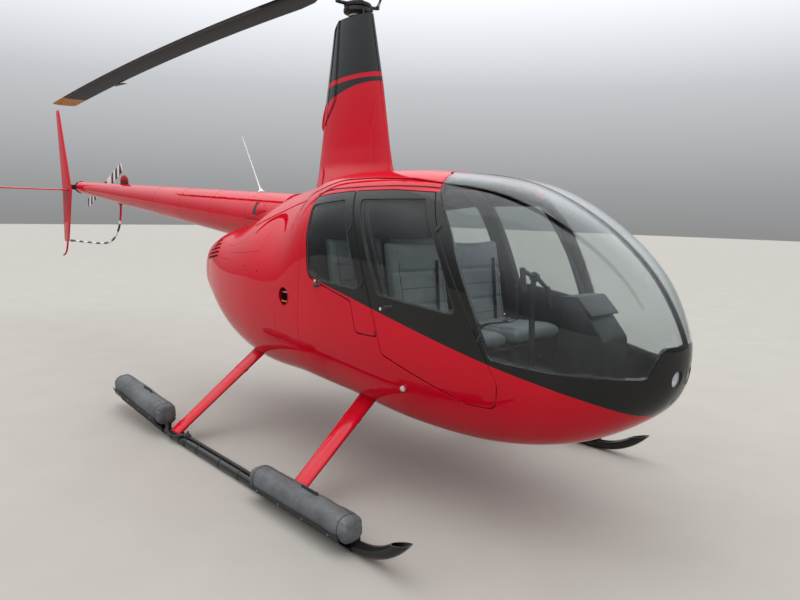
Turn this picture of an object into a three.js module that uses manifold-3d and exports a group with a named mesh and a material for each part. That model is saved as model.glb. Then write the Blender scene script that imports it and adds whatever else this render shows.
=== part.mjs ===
// Light four-seat piston helicopter, parked on its skids. Millimetres, +X forward, +Y to port,
// +Z up. Every x below is measured from the rotor mast's axis. The last step moves the whole
// machine so that its origin lies under the middle of its length, on the ground.

import * as THREE from 'three';
import { mergeVertices } from 'three/addons/utils/BufferGeometryUtils.js';
import Module from 'manifold-3d';

const wasm = await Module();
wasm.setup();

// Driving dimensions
const WALL = 30;
const GLASS = 6;
const FIT = 0.3;
const SLIVER = 0.02;
const DOOR_GAP = 8;
const SILL_GAP = 8;
const REAR_JAMB_GAP = 4;
const DOOR_LIP = 12;
const DOOR_STEP = 10;
const SEAM_TOP_X = 300;
const SEAM_FOOT_X = 205;
const FLOOR_TOP = 620;
const TREAD = 2184;
const SKID_RADIUS = 33;
const ROTOR_RADIUS = 5029;
const BLADE_CHORD = 262;
const BLADE_AZIMUTH = 5.9;
const HUB_HEIGHT = 3200;
const TAIL_ROTOR = { x: -5893, y: 262, z: 1888, radius: 737, chord: 130, angle: 21 };
const BOOM = {
  rootX: -420,
  endX: -6000,
  heightAtMast: 1462,
  fall: -0.0681,
  radiusAtMast: 252,
  taper: 0.0293,
};
const FIN = { y: -150, halfThickness: 16, topZ: 2925, footZ: 1120 };
const STABILISER = { z: 1815, chord: 300, tipY: -1090, rootGap: 18, leadX: -6000 };
const HUB = { armReach: 330, boltX: 270, cheekY: 58, plate: 20, halfHeight: 34 };

// Colours
const RED = [0xc0101e, 0.3, 0.1];
const BLACK = [0x16171a, 0.35, 0.1];
const TRIM = [0x1c1d1f, 0.7, 0];
const STEEL = [0x77797c, 0.45, 0.8];
const SMOKE = [0x3a4044, 0.08, 0];
const LEATHER = [0x6d7073, 0.7, 0];
const CANVAS = [0x63676b, 0.85, 0];
const WHITE = [0xe4e4e0, 0.4, 0];
const LENS = [0xdfe6ea, 0.1, 0];
const BEACON_RED = [0xa01515, 0.25, 0];

// Body sections: x, top, bottom, half width, height of the widest point, upper and lower exponents
const SECTIONS = [
  [2416, 966, 966, 0, 966, 2.2, 2.2],
  [2372, 1128, 776, 148, 980, 2.1, 2.4],
  [2220, 1360, 619, 324, 980, 2.4, 2.4],
  [1950, 1587, 469, 471, 980, 2.6, 2.6],
  [1550, 1776, 373, 580, 1000, 3.1, 2.7],
  [1050, 1852, 365, 641, 1050, 3.7, 2.9],
  [500, 1862, 415, 662, 1080, 3.9, 2.9],
  [250, 1857, 432, 659, 1080, 3.2, 2.95],
  [0, 1848, 450, 652, 1080, 2.0, 3.0],
  [-500, 1742, 452, 619, 1080, 1.9, 3.0],
  [-1000, 1545, 539, 534, 1080, 2.1, 2.8],
  [-1400, 1426, 713, 419, 1080, 3.0, 2.6],
  [-1700, 1319, 887, 290, 1080, 2.7, 2.3],
  [-1850, 1077, 1077, 0, 1077, 2.4, 2.4],
];

// Door outlines in side view, as corners of x, z and corner radius, all the way round
const FRONT_DOOR = [
  [702, 1728, 15],
  [985, 1733, 400],
  [1262, 1718, 20],
  [1362, 1520, 500],
  [1610, 1060, 500],
  [1742, 800, 60],
  [1722, 664, 60],
  [1560, 664, 150],
  [1025, 838, 30],
  [985, 980, 100],
  [925, 1155, 300],
];
const REAR_DOOR = [
  [318, 1690, 40],
  [470, 1712, 300],
  [694, 1728, 15],
  [917, 1155, 300],
  [977, 980, 100],
  [990, 930, 20],
  [815, 930, 40],
  [775, 1105, 40],
  [480, 1180, 150],
  [362, 1215, 60],
  [326, 1450, 300],
];
const FRONT_WINDOW = [
  [770, 1680, 25],
  [1228, 1684, 25],
  [1400, 1380, 500],
  [1519, 1108, 30],
  [992, 1162, 30],
];
const REAR_WINDOW = [
  [322, 1645, 40],
  [645, 1678, 25],
  [846, 1172, 30],
  [470, 1198, 60],
  [366, 1245, 60],
  [346, 1450, 300],
];

// The windshield's opening in side view, open towards the nose
const WINDSHIELD = [
  [1050, 1950, 0],
  [1090, 1852, 60],
  [1204, 1822, 60],
  [1283, 1724, 30],
  [1430, 1527, 300],
  [1624, 1102, 400],
  [1700, 915, 40],
  [2029, 888, 400],
  [2331, 890, 30],
  [2374, 1036, 20],
  [2600, 1056, 0],
  [2600, 1950, 0],
];

// The roof cowling's lower edge in side view
const ROOF_EDGE = [
  [1262, 1764],
  [1050, 1792],
  [770, 1802],
  [494, 1794],
  [376, 1764],
  [200, 1712],
  [-160, 1650],
  [-400, 1560],
  [-640, 1480],
];

// Mast fairing sections: z, front x, rear x, half width
const FAIRING = [
  [1740, 520, -470, 210],
  [1850, 400, -436, 150],
  [1920, 366, -424, 112],
  [2050, 340, -400, 96],
  [2460, 266, -330, 78],
  [2885, 168, -262, 56],
  [2930, 120, -250, 44],
];

// Points around a superellipse ring, counter-clockwise seen from +X
function ring(x, top, bottom, halfWidth, widest, upper, lower, count) {
  const points = [];
  for (let i = 0; i < count; i += 1) {
    const angle = (2 * Math.PI * i) / count;
    const cos = Math.cos(angle);
    const sin = Math.sin(angle);
    const power = 2 / (sin >= 0 ? upper : lower);
    const height = sin >= 0 ? top - widest : widest - bottom;
    const y = halfWidth * Math.sign(cos) * Math.abs(cos) ** power;
    const z = widest + height * Math.sign(sin) * Math.abs(sin) ** power;
    points.push(new THREE.Vector3(x, y, z));
  }
  return points;
}

// Smooth rows between the listed sections, by cubic pieces whose knots follow the spacing
function smoothRows(rows, steps) {
  const mirrored = (row) => [row[0], row[2], row[1], -row[3], row[4], row[5], row[6]];
  const all = [mirrored(rows[1]), ...rows, mirrored(rows[rows.length - 2])];
  const knots = [0];
  for (let i = 1; i < all.length; i += 1) {
    const step = Math.hypot(...[0, 1, 2, 3].map((k) => all[i][k] - all[i - 1][k]));
    knots.push(knots[i - 1] + Math.sqrt(step));
  }
  const slope = (i, k) => {
    const before = knots[i] - knots[i - 1];
    const after = knots[i + 1] - knots[i];
    const left = (all[i][k] - all[i - 1][k]) / before;
    const right = (all[i + 1][k] - all[i][k]) / after;
    return (left * after + right * before) / (before + after);
  };
  const out = [];
  for (let i = 1; i < all.length - 2; i += 1) {
    const h = knots[i + 1] - knots[i];
    for (let step = 0; step < steps; step += 1) {
      const s = step / steps;
      out.push(all[i].map((value, k) => (2 * s ** 3 - 3 * s ** 2 + 1) * value
        + (s ** 3 - 2 * s ** 2 + s) * h * slope(i, k)
        + (3 * s ** 2 - 2 * s ** 3) * all[i + 1][k]
        + (s ** 3 - s ** 2) * h * slope(i + 1, k)));
    }
  }
  out.push(rows[rows.length - 1]);
  return out;
}

// A closed surface through rings of equal count, each end closed by a fan to its middle point
function loftRings(rings) {
  const count = rings[0].length;
  const positions = rings.flat().flatMap((p) => [p.x, p.y, p.z]);
  const middle = (points) => points.reduce((sum, p) => sum.add(p), new THREE.Vector3()).divideScalar(count);
  const first = middle(rings[0].map((p) => p.clone()));
  const last = middle(rings[rings.length - 1].map((p) => p.clone()));
  positions.push(first.x, first.y, first.z, last.x, last.y, last.z);
  const firstIndex = rings.length * count;
  const triangles = [];
  for (let j = 0; j < count; j += 1) {
    const next = (j + 1) % count;
    const lastRow = (rings.length - 1) * count;
    triangles.push(firstIndex, next, j, firstIndex + 1, lastRow + j, lastRow + next);
    for (let i = 0; i + 1 < rings.length; i += 1) {
      const a = i * count + j;
      const b = i * count + next;
      triangles.push(a, b, b + count, a, b + count, a + count);
    }
  }
  const geometry = new THREE.BufferGeometry();
  geometry.setAttribute('position', new THREE.Float32BufferAttribute(positions, 3));
  geometry.setIndex(triangles);
  return geometry;
}

// A manifold solid from a closed three.js geometry
function solid(source) {
  const geometry = source.clone();
  geometry.deleteAttribute('normal');
  geometry.deleteAttribute('uv');
  const merged = mergeVertices(geometry, 1e-3);
  const index = merged.index.array;
  const kept = [];
  for (let i = 0; i < index.length; i += 3) {
    const [a, b, c] = [index[i], index[i + 1], index[i + 2]];
    if (a !== b && b !== c && a !== c) kept.push(a, b, c);
  }
  const mesh = new wasm.Mesh({
    numProp: 3,
    vertProperties: new Float32Array(merged.attributes.position.array),
    triVerts: new Uint32Array(kept),
  });
  const made = new wasm.Manifold(mesh);
  return made.volume() < 0 ? solid(flipped(source)) : made;
}

function flipped(source) {
  const geometry = source.index ? source.clone() : mergeVertices(source);
  const index = geometry.index.array;
  for (let i = 0; i < index.length; i += 3) {
    const keep = index[i];
    index[i] = index[i + 1];
    index[i + 1] = keep;
  }
  return geometry;
}

// The cuts' slivers are dropped before a solid leaves
function geometryOf(manifold) {
  const mesh = manifold.asOriginal().simplify(SLIVER).getMesh();
  const geometry = new THREE.BufferGeometry();
  geometry.setAttribute('position', new THREE.Float32BufferAttribute(mesh.vertProperties, 3));
  geometry.setIndex(new THREE.Uint32BufferAttribute(mesh.triVerts, 1));
  const split = geometry.toNonIndexed();
  split.computeVertexNormals();
  return split;
}

function joined(...parts) {
  return parts.reduce((sum, part) => sum.add(part));
}

// The largest body of a cut, without the slivers
function mainBody(manifold) {
  return manifold.decompose().reduce((best, part) => (part.volume() > best.volume() ? part : best));
}

function mirroredY(manifold) {
  return manifold.mirror([0, 1, 0]);
}

// Corner outlines: each corner is x, z and a radius, and can be moved outwards by a distance
function offsetCorners(corners, distance) {
  const count = corners.length;
  const area = corners.reduce((sum, [x, z], i) => {
    const [nx, nz] = corners[(i + 1) % count];
    return sum + x * nz - nx * z;
  }, 0);
  const turn = area > 0 ? 1 : -1;
  const edges = corners.map(([x, z], i) => {
    const [nx, nz] = corners[(i + 1) % count];
    const length = Math.hypot(nx - x, nz - z);
    const direction = [(nx - x) / length, (nz - z) / length];
    const outward = [direction[1] * turn, -direction[0] * turn];
    return { at: [x + outward[0] * distance, z + outward[1] * distance], direction };
  });
  return corners.map((corner, i) => {
    const before = edges[(i + count - 1) % count];
    const after = edges[i];
    const cross = before.direction[0] * after.direction[1] - before.direction[1] * after.direction[0];
    const gap = [after.at[0] - before.at[0], after.at[1] - before.at[1]];
    const along = (gap[0] * after.direction[1] - gap[1] * after.direction[0]) / cross;
    const x = before.at[0] + before.direction[0] * along;
    const z = before.at[1] + before.direction[1] * along;
    return [x, z, Math.max(corner[2] + distance * Math.sign(cross) * turn, 0)];
  });
}

function roundedOutline(corners) {
  const count = corners.length;
  const points = [];
  corners.forEach(([x, z, radius], i) => {
    const here = new THREE.Vector2(x, z);
    const before = new THREE.Vector2(...corners[(i + count - 1) % count]).sub(here);
    const after = new THREE.Vector2(...corners[(i + 1) % count]).sub(here);
    const bend = Math.PI - Math.abs(before.angleTo(after));
    const wanted = radius * Math.tan(bend / 2);
    const reach = Math.min(wanted, 0.45 * before.length(), 0.45 * after.length());
    if (reach < 1) {
      points.push(here);
      return;
    }
    const start = here.clone().add(before.setLength(reach));
    const end = here.clone().add(after.setLength(reach));
    const steps = Math.max(2, Math.round(bend / 0.4));
    points.push(...new THREE.QuadraticBezierCurve(start, here, end).getPoints(steps));
  });
  return points;
}

// A prism through the side view's outline, between two y values
function sidePrism(points, fromY, toY) {
  const shape = new THREE.Shape(points.map((p) => new THREE.Vector2(p.x, p.y)));
  const geometry = new THREE.ExtrudeGeometry(shape, { depth: toY - fromY, bevelEnabled: false });
  geometry.rotateX(Math.PI / 2);
  geometry.translate(0, toY, 0);
  return solid(geometry);
}

function sideCut(corners, distance, fromY, toY) {
  return sidePrism(roundedOutline(offsetCorners(corners, distance)), fromY, toY);
}

function box(x0, x1, y0, y1, z0, z1) {
  const geometry = new THREE.BoxGeometry(x1 - x0, y1 - y0, z1 - z0);
  geometry.translate((x0 + x1) / 2, (y0 + y1) / 2, (z0 + z1) / 2);
  return solid(geometry);
}

// A round bar or cone between two points
function bar(from, to, radius, endRadius = radius, sides = 16) {
  const start = new THREE.Vector3(...from);
  const end = new THREE.Vector3(...to);
  const direction = end.clone().sub(start);
  const geometry = new THREE.CylinderGeometry(endRadius, radius, direction.length(), sides);
  const turn = new THREE.Quaternion();
  turn.setFromUnitVectors(new THREE.Vector3(0, 1, 0), direction.clone().normalize());
  geometry.applyQuaternion(turn);
  geometry.translate(...start.add(end).divideScalar(2).toArray());
  return solid(geometry);
}

function ellipsoid(center, radii, sides = 16) {
  const geometry = new THREE.SphereGeometry(1, sides, sides / 2);
  geometry.scale(...radii);
  geometry.translate(...center);
  return solid(geometry);
}

// A pipe through points of a path that stays close to the plane across the given side direction
function pipe(points, radius, sides = 12, side = [0, 1, 0]) {
  const path = points.map((p) => new THREE.Vector3(...p));
  const across = new THREE.Vector3(...side);
  const rings = path.map((p, i) => {
    const tangent = path[Math.min(i + 1, path.length - 1)].clone().sub(path[Math.max(i - 1, 0)]).normalize();
    const up = tangent.clone().cross(across).normalize();
    const out = up.clone().cross(tangent);
    const points = [];
    for (let j = 0; j < sides; j += 1) {
      const angle = (2 * Math.PI * (j + 0.5)) / sides;
      points.push(p.clone().addScaledVector(out, radius * Math.cos(angle))
        .addScaledVector(up, radius * Math.sin(angle)));
    }
    return points;
  });
  return solid(loftRings(rings));
}

// Points along a smooth curve through the listed ones
function smoothPath(points, steps) {
  const curve = new THREE.CatmullRomCurve3(points.map((p) => new THREE.Vector3(...p)), false, 'centripetal');
  return curve.getPoints(steps).map((p) => p.toArray());
}

// The body's outer surface, moved along its normals
const BODY_ROWS = smoothRows(SECTIONS, 2);
const RING_COUNT = 36;
const BODY_RINGS = BODY_ROWS.map((row) => ring(...row, RING_COUNT));

function bodySolid(distance) {
  const last = BODY_RINGS.length - 1;
  const moved = BODY_RINGS.map((points, i) => points.map((p, j) => {
    if (i === 0) return p.clone().add(new THREE.Vector3(distance, 0, 0));
    if (i === last) return p.clone().add(new THREE.Vector3(-distance, 0, 0));
    const before = points[(j + RING_COUNT - 1) % RING_COUNT];
    const after = points[(j + 1) % RING_COUNT];
    const around = after.clone().sub(before);
    const along = BODY_RINGS[i + 1][j].clone().sub(BODY_RINGS[i - 1][j]);
    return p.clone().addScaledVector(along.cross(around).normalize(), distance);
  }));
  return solid(loftRings(moved));
}

const HULL = bodySolid(0);
const HULL_INNER = bodySolid(-WALL);
const HULL_CLEAR = bodySolid(FIT);
const INSIDE = bodySolid(-WALL - FIT);
const SKIN = HULL.subtract(HULL_INNER);

const FAR = 900;
const seamAt = (z) => SEAM_FOOT_X + ((SEAM_TOP_X - SEAM_FOOT_X) * (z - 400)) / 1300;
const seamPoints = (shift) => [
  new THREE.Vector2(seamAt(300) + shift, 300),
  new THREE.Vector2(seamAt(2000) + shift, 2000),
];
const AHEAD = sidePrism(
  [...seamPoints(FIT / 2), new THREE.Vector2(2600, 2000), new THREE.Vector2(2600, 300)], -FAR, FAR);
const BEHIND = sidePrism(
  [...seamPoints(-FIT / 2), new THREE.Vector2(-2000, 2000), new THREE.Vector2(-2000, 300)], -FAR, FAR);

function roofCut(drop) {
  const edge = ROOF_EDGE.map(([x, z]) => new THREE.Vector2(x, z - drop));
  edge.unshift(new THREE.Vector2(1262, 2100));
  edge.push(new THREE.Vector2(-640 - drop, 2100));
  return sidePrism(edge, -FAR, FAR);
}

// Landing gear
const GEAR = [
  { name: 'front', footX: 832, topX: 654, topY: 430, topZ: 470, crossZ: 500 },
  { name: 'rear', footX: -569, topX: -601, topY: 440, topZ: 548, crossZ: 560 },
];
const STRUT_HALF_CHORD = { foot: 52, top: 68 };
const STRUT_HALF_THICKNESS = 24;
const STRUT_SIDES = 12;

function strutShape(gear, extra) {
  const foot = new THREE.Vector3(gear.footX, TREAD / 2 - 8, 66 + STRUT_HALF_THICKNESS);
  const inside = new THREE.Vector3(gear.topX, gear.topY - 70, gear.topZ + 46);
  const down = foot.clone().sub(inside).normalize();
  const across = new THREE.Vector3(1, 0, 0).cross(down).normalize();
  const section = (middle, halfChord) => Array.from({ length: STRUT_SIDES }, (_, i) => {
    const angle = (2 * Math.PI * i) / STRUT_SIDES;
    return middle.clone()
      .add(new THREE.Vector3((halfChord + extra) * Math.cos(angle), 0, 0))
      .addScaledVector(across, (STRUT_HALF_THICKNESS + extra) * Math.sin(angle));
  });
  const low = foot.addScaledVector(down, 3 * extra);
  return solid(loftRings([section(low, STRUT_HALF_CHORD.foot), section(inside, STRUT_HALF_CHORD.top)]));
}

function gearSolid(gear, extra) {
  const left = strutShape(gear, extra);
  const y = gear.topY - 60;
  const z = gear.topZ + 38;
  const cross = bar([gear.topX, -y, z], [gear.topX, y, z], 30 + extra, 30 + extra, 12);
  return joined(left, mirroredY(left), cross);
}

const SKID_SIDES = 12;
const SKID_Z = SKID_RADIUS * Math.cos(Math.PI / SKID_SIDES);
const SKID_REAR = -1690;
// Behind the rear strut the tube rises a little; in front it curls up to a mouth that is cut nearly level
const SKID_RISE = { x: -640, angle: 4.5 };
const SKID_BEND = { x: 1375, radius: 466, angle: 60 };
const SKID_MOUTH = { x: 1702, z: 167, slope: 18 };
const riseAt = (x) => (SKID_RISE.x - x) * Math.tan(THREE.MathUtils.degToRad(SKID_RISE.angle));

const shoes = (extra) => GEAR.map((gear) => box(
  gear.footX - 60 - extra, gear.footX + 60 + extra, -30 - extra, 30 + extra, 30, 72 + extra));

function skidSolid(extra) {
  const rear = SKID_REAR - extra;
  const path = [[rear, 0, SKID_Z + riseAt(rear)], [SKID_RISE.x, 0, SKID_Z]];
  for (let i = 0; i <= 6; i += 1) {
    const angle = (THREE.MathUtils.degToRad(SKID_BEND.angle) * i) / 6;
    path.push([
      SKID_BEND.x + SKID_BEND.radius * Math.sin(angle),
      0,
      SKID_Z + SKID_BEND.radius * (1 - Math.cos(angle)),
    ]);
  }
  const bore = pipe(path.slice(-4), SKID_RADIUS - 5, SKID_SIDES);
  const above = box(-160, 400, -60, 60, extra, 400)
    .rotate([0, -SKID_MOUTH.slope, 0])
    .translate([SKID_MOUTH.x, 0, SKID_MOUTH.z]);
  const runner = pipe(path, SKID_RADIUS + extra, SKID_SIDES).subtract(bore).subtract(above);
  return joined(runner, ...shoes(extra)).translate([0, TREAD / 2, 0]);
}

const BAGS = [
  { name: 'front', rear: 540, front: 1422, radius: 78, out: 32, height: 122, tilt: 0 },
  { name: 'rear', rear: -1575, front: -712, radius: 86, out: 12, height: 146, tilt: SKID_RISE.angle },
];

function bagSolid(bag) {
  const reach = [0, 0.35, 1];
  const rounding = 60;
  const profile = [new THREE.Vector2(0, 0)];
  reach.forEach((t) => profile.push(new THREE.Vector2(
    bag.radius - rounding * (1 - Math.sqrt(1 - (1 - t) ** 2)), rounding * t)));
  const length = bag.front - bag.rear;
  [...reach].reverse().forEach((t) => profile.push(new THREE.Vector2(
    bag.radius - rounding * (1 - Math.sqrt(1 - (1 - t) ** 2)), length - rounding * t)));
  profile.push(new THREE.Vector2(0, length));
  const geometry = new THREE.LatheGeometry(profile, 16);
  geometry.rotateZ(-Math.PI / 2);
  geometry.translate(bag.rear - SKID_RISE.x, TREAD / 2 + bag.out, bag.height - SKID_Z);
  geometry.rotateY(THREE.MathUtils.degToRad(bag.tilt));
  geometry.translate(SKID_RISE.x, 0, SKID_Z);
  const struts = joined(...GEAR.map((gear) => gearSolid(gear, 2)));
  return mainBody(solid(geometry).subtract(skidSolid(2)).subtract(struts));
}

// Airframe
// The doorways are wider below and behind than the doors, because the hinges lean
const doorway = (corners, sillBelow, jambBehind) => corners.map(([x, z, radius]) => [
  x < jambBehind ? x - REAR_JAMB_GAP : x,
  z < sillBelow ? z - SILL_GAP : z,
  radius,
]);
const frontDoorCut = sideCut(doorway(FRONT_DOOR, 900, 0), DOOR_GAP / 2, 150, FAR);
const rearDoorCut = sideCut(doorway(REAR_DOOR, 1250, 400), DOOR_GAP / 2, 150, FAR);
const doorCuts = joined(frontDoorCut, rearDoorCut);
const windshieldCut = sideCut(WINDSHIELD, 0, -FAR, FAR);

const belowWalls = bodySolid(-WALL - 8);
const postBand = bodySolid(-WALL + 8).subtract(bodySolid(-WALL - 34));
const postPrism = sidePrism(
  [[640, 1800], [747, 1800], [1012, 1150], [1050, 800], [1050, 700], [950, 700], [950, 800], [905, 1150]]
    .map(([x, z]) => new THREE.Vector2(x, z)), 150, FAR);
const post = postBand.intersect(postPrism)
  .subtract(doorCuts.subtract(belowWalls));

const centreStrip = SKIN.intersect(windshieldCut).intersect(box(1000, 2600, -11, 11, 700, 2000));
const LAMP = { rear: 2240, front: 2428, y: 71, z: 882, radius: 34.5, height: 1.3 };
const lampBar = (side, extra) => bar([LAMP.rear, 0, 0], [LAMP.front, 0, 0], LAMP.radius + extra)
  .scale([1, 1, LAMP.height])
  .translate([0, side * LAMP.y, LAMP.z]);
const lampHoles = joined(lampBar(1, FIT), lampBar(-1, FIT));
const gearClearance = joined(...GEAR.map((gear) => gearSolid(gear, 1)));

const cabinShell = mainBody(joined(
  SKIN.intersect(AHEAD).subtract(windshieldCut)
    .subtract(doorCuts).subtract(mirroredY(doorCuts)).add(centreStrip),
  post,
  mirroredY(post),
).subtract(gearClearance).subtract(roofCut(FIT)).subtract(lampHoles));

const fairingSolid = () => {
  const rings = FAIRING.map(([z, front, rear, halfWidth]) => {
    const points = [];
    for (let i = 0; i < 20; i += 1) {
      const angle = (2 * Math.PI * i) / 20;
      const middle = (front + rear) / 2;
      const bulge = Math.sign(Math.sin(angle)) * Math.abs(Math.sin(angle)) ** 0.9;
      points.push(new THREE.Vector3(middle + ((front - rear) / 2) * Math.cos(angle), halfWidth * bulge, z));
    }
    return points;
  });
  return solid(loftRings(rings));
};

const roofCowl = mainBody(SKIN.intersect(roofCut(0)).subtract(sideCut(WINDSHIELD, FIT, -FAR, FAR)));
const mastFairing = mainBody(fairingSolid().subtract(HULL_CLEAR));

const louvres = [0, 1, 2, 3, 4].map((i) => {
  const low = new THREE.Vector2(-1222 - 62 * i, 1388 - 50 * i);
  return sidePrism([
    low,
    new THREE.Vector2(low.x + 182, low.y + 6),
    new THREE.Vector2(low.x + 200, low.y + 34),
    new THREE.Vector2(low.x - 14, low.y + 30),
  ], -FAR, FAR);
});
const INTAKE = { x: 82, z: 1058, halfLength: 56, halfHeight: 62 };
const intake = sidePrism(Array.from({ length: 20 }, (_, i) => new THREE.Vector2(
  INTAKE.x + INTAKE.halfLength * Math.cos((Math.PI * i) / 10),
  INTAKE.z + INTAKE.halfHeight * Math.sin((Math.PI * i) / 10),
)), -FAR, FAR);
const engineCowl = mainBody(SKIN.intersect(BEHIND).subtract(roofCut(FIT))
  .subtract(joined(...louvres)).subtract(intake).subtract(gearClearance));

const cabinFloor = mainBody(INSIDE.intersect(box(270, 2150, -FAR, FAR, FLOOR_TOP - 20, FLOOR_TOP)));
const firewall = mainBody(INSIDE.intersect(box(225, 245, -FAR, FAR, 480, 1795)));
const engine = box(-1050, -150, -260, 260, 640, 1150);

// Glass
function windshieldHalf() {
  const glass = HULL.subtract(bodySolid(-GLASS));
  return mainBody(glass.intersect(sideCut(WINDSHIELD, -FIT, 11 + FIT, FAR)));
}

// A door is an outer lip and a smaller inner frame, so that its edge clears the jamb as it swings
function doorSolid(outline, window) {
  const lip = HULL.subtract(bodySolid(-DOOR_LIP));
  const frame = bodySolid(2 - DOOR_LIP).subtract(HULL_INNER);
  return mainBody(joined(
    lip.intersect(sideCut(outline, -DOOR_GAP / 2, 150, FAR)),
    frame.intersect(sideCut(outline, -DOOR_GAP / 2 - DOOR_STEP, 150, FAR)),
  ).subtract(sideCut(window, 0, 150, FAR)));
}

function doorGlass(window) {
  const glass = bodySolid(-4).subtract(bodySolid(-4 - GLASS));
  return mainBody(glass.intersect(sideCut(window, -FIT, 150, FAR)));
}

// Cabin furniture
function seatSolid(frontX, halfWidth) {
  const base = sidePrism([
    [frontX - 520, FLOOR_TOP + FIT],
    [frontX - 40, FLOOR_TOP + FIT],
    [frontX - 20, 850],
    [frontX - 520, 850],
  ].map(([x, z]) => new THREE.Vector2(x, z)), -halfWidth, halfWidth);
  const cushion = sidePrism(roundedOutline([
    [frontX - 500, 848, 20],
    [frontX, 852, 45],
    [frontX, 965, 45],
    [frontX - 490, 945, 30],
  ]), -halfWidth, halfWidth);
  const back = sidePrism(roundedOutline([
    [frontX - 520, 855, 20],
    [frontX - 395, 855, 20],
    [frontX - 520, 1460, 50],
    [frontX - 615, 1450, 50],
  ]), -halfWidth, halfWidth);
  return joined(base, cushion, back);
}

const SEATS = [
  { name: 'seat_front_left', frontX: 1440, y: 265 },
  { name: 'seat_front_right', frontX: 1440, y: -265 },
  { name: 'seat_rear_left', frontX: 880, y: 265 },
  { name: 'seat_rear_right', frontX: 880, y: -265 },
];

const instrumentConsole = sidePrism(roundedOutline([
  [1760, FLOOR_TOP + FIT, 0],
  [2060, FLOOR_TOP + FIT, 0],
  [2060, 1010, 60],
  [1900, 1200, 40],
  [1830, 1200, 40],
  [1800, 980, 60],
]), -120, 120);

const cyclic = joined(
  bar([1560, 0, FLOOR_TOP + FIT], [1555, 0, 1272], 20, 16, 10),
  bar([1480, 240, 1190], [1620, -200, 1330], 13, 13, 8),
  bar([1620, -200, 1345], [1650, -215, 1200], 17, 17, 8),
  bar([1480, 240, 1205], [1500, 245, 1060], 17, 17, 8),
);

// Rotor
const MAST_TOP = HUB_HEIGHT + 60;
const swashplate = joined(
  bar([0, 0, 2931], [0, 0, 2965], 60, 60, 20),
  bar([0, 0, 2955], [0, 0, 2985], 95, 95, 24),
).subtract(bar([0, 0, 2900], [0, 0, 3100], 34, 34, 16));

const rotorTurn = (2 * Math.PI * BLADE_AZIMUTH) / 360;
const linkArm = (side) => joined(
  bar([side * 30, side * 88, 3010], [side * 60, side * 170, 3015], 12, 12, 8),
  bar([side * 60, side * 165, 3005], [side * 130, side * 165, 3190], 9, 9, 8),
  bar([side * 130, side * 165, 3185], [side * 235, side * 48, HUB_HEIGHT - 8], 14, 14, 8),
);
const hubCheek = (side) => mainBody(sidePrism([
  [-HUB.armReach, HUB_HEIGHT - 30],
  [-120, HUB_HEIGHT - 52],
  [120, HUB_HEIGHT - 52],
  [HUB.armReach, HUB_HEIGHT - 30],
  [HUB.armReach, HUB_HEIGHT + 28],
  [120, HUB_HEIGHT + 44],
  [-120, HUB_HEIGHT + 44],
  [-HUB.armReach, HUB_HEIGHT + 28],
].map(([x, z]) => new THREE.Vector2(x, z)), HUB.cheekY - HUB.plate, HUB.cheekY)
  .mirror([0, side < 0 ? 1 : 0, side < 0 ? 0 : 1])
  .translate([0, 0, side < 0 ? 0 : 2 * HUB_HEIGHT]));
const coningBolt = (side, extra) => bar(
  [side * HUB.boltX, -HUB.cheekY - 16 - extra, HUB_HEIGHT],
  [side * HUB.boltX, HUB.cheekY + 16 + extra, HUB_HEIGHT],
  20 + extra,
  20 + extra,
);
const rotorHub = joined(
  bar([0, 0, 2932], [0, 0, MAST_TOP], 28, 28, 16),
  bar([0, 0, 2992], [0, 0, 3022], 92, 92, 24),
  box(-90, 90, -HUB.cheekY, HUB.cheekY, HUB_HEIGHT - 34, HUB_HEIGHT + 34),
  hubCheek(1),
  hubCheek(-1),
  bar([0, -82, HUB_HEIGHT], [0, 82, HUB_HEIGHT], 36, 36, 16),
  coningBolt(1, 0),
  coningBolt(-1, 0),
  linkArm(1),
  linkArm(-1),
);

const bladeDroop = (r) => -0.02 * r - 0.0115 * r * r * 1e-3;

function airfoil(chord, thickness, count) {
  const points = [];
  for (let i = 0; i < count; i += 1) {
    const angle = (2 * Math.PI * i) / count;
    const along = (1 - Math.cos(angle)) / 2;
    const half = 2.6 * thickness * (Math.sqrt(along) - along) * 0.5 + thickness * 0.03;
    points.push([chord * (0.3 - along), half * Math.sin(angle) >= 0 ? half : -half]);
  }
  return points;
}

// Stations: radius, chord, thickness. The root is a lug between the hub's cheeks, on its bolt
function bladeSolid() {
  const stations = [
    [372, 96, 66],
    [430, 112, 58],
    [620, 230, 40],
    [800, BLADE_CHORD, 32],
    [1600, BLADE_CHORD, 30],
    [2500, BLADE_CHORD, 30],
    [3400, BLADE_CHORD, 28],
    [4300, BLADE_CHORD, 28],
    [4960, BLADE_CHORD, 26],
    [ROTOR_RADIUS, BLADE_CHORD - 60, 16],
  ];
  const rings = stations.map(([r, chord, thickness]) => airfoil(chord, thickness, 14)
    .map(([y, z]) => new THREE.Vector3(r, y, HUB_HEIGHT + bladeDroop(r) + z)));
  const lugHalfWidth = HUB.cheekY - HUB.plate - FIT;
  const lug = box(HUB.boltX - 42, 400, -lugHalfWidth, lugHalfWidth, HUB_HEIGHT - 30, HUB_HEIGHT + 22);
  return mainBody(joined(solid(loftRings(rings)), lug).subtract(coningBolt(1, FIT)));
}

// Tail
const boomHeight = (x) => BOOM.heightAtMast + BOOM.fall * x;
const boomRadius = (x) => BOOM.radiusAtMast + BOOM.taper * x;
const boomCone = (fromX, toX, thinner) => bar(
  [fromX, 0, boomHeight(fromX)], [toX, 0, boomHeight(toX)],
  boomRadius(fromX) - thinner, boomRadius(toX) - thinner, 28);
const BOOM_WALL = 8;

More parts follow.
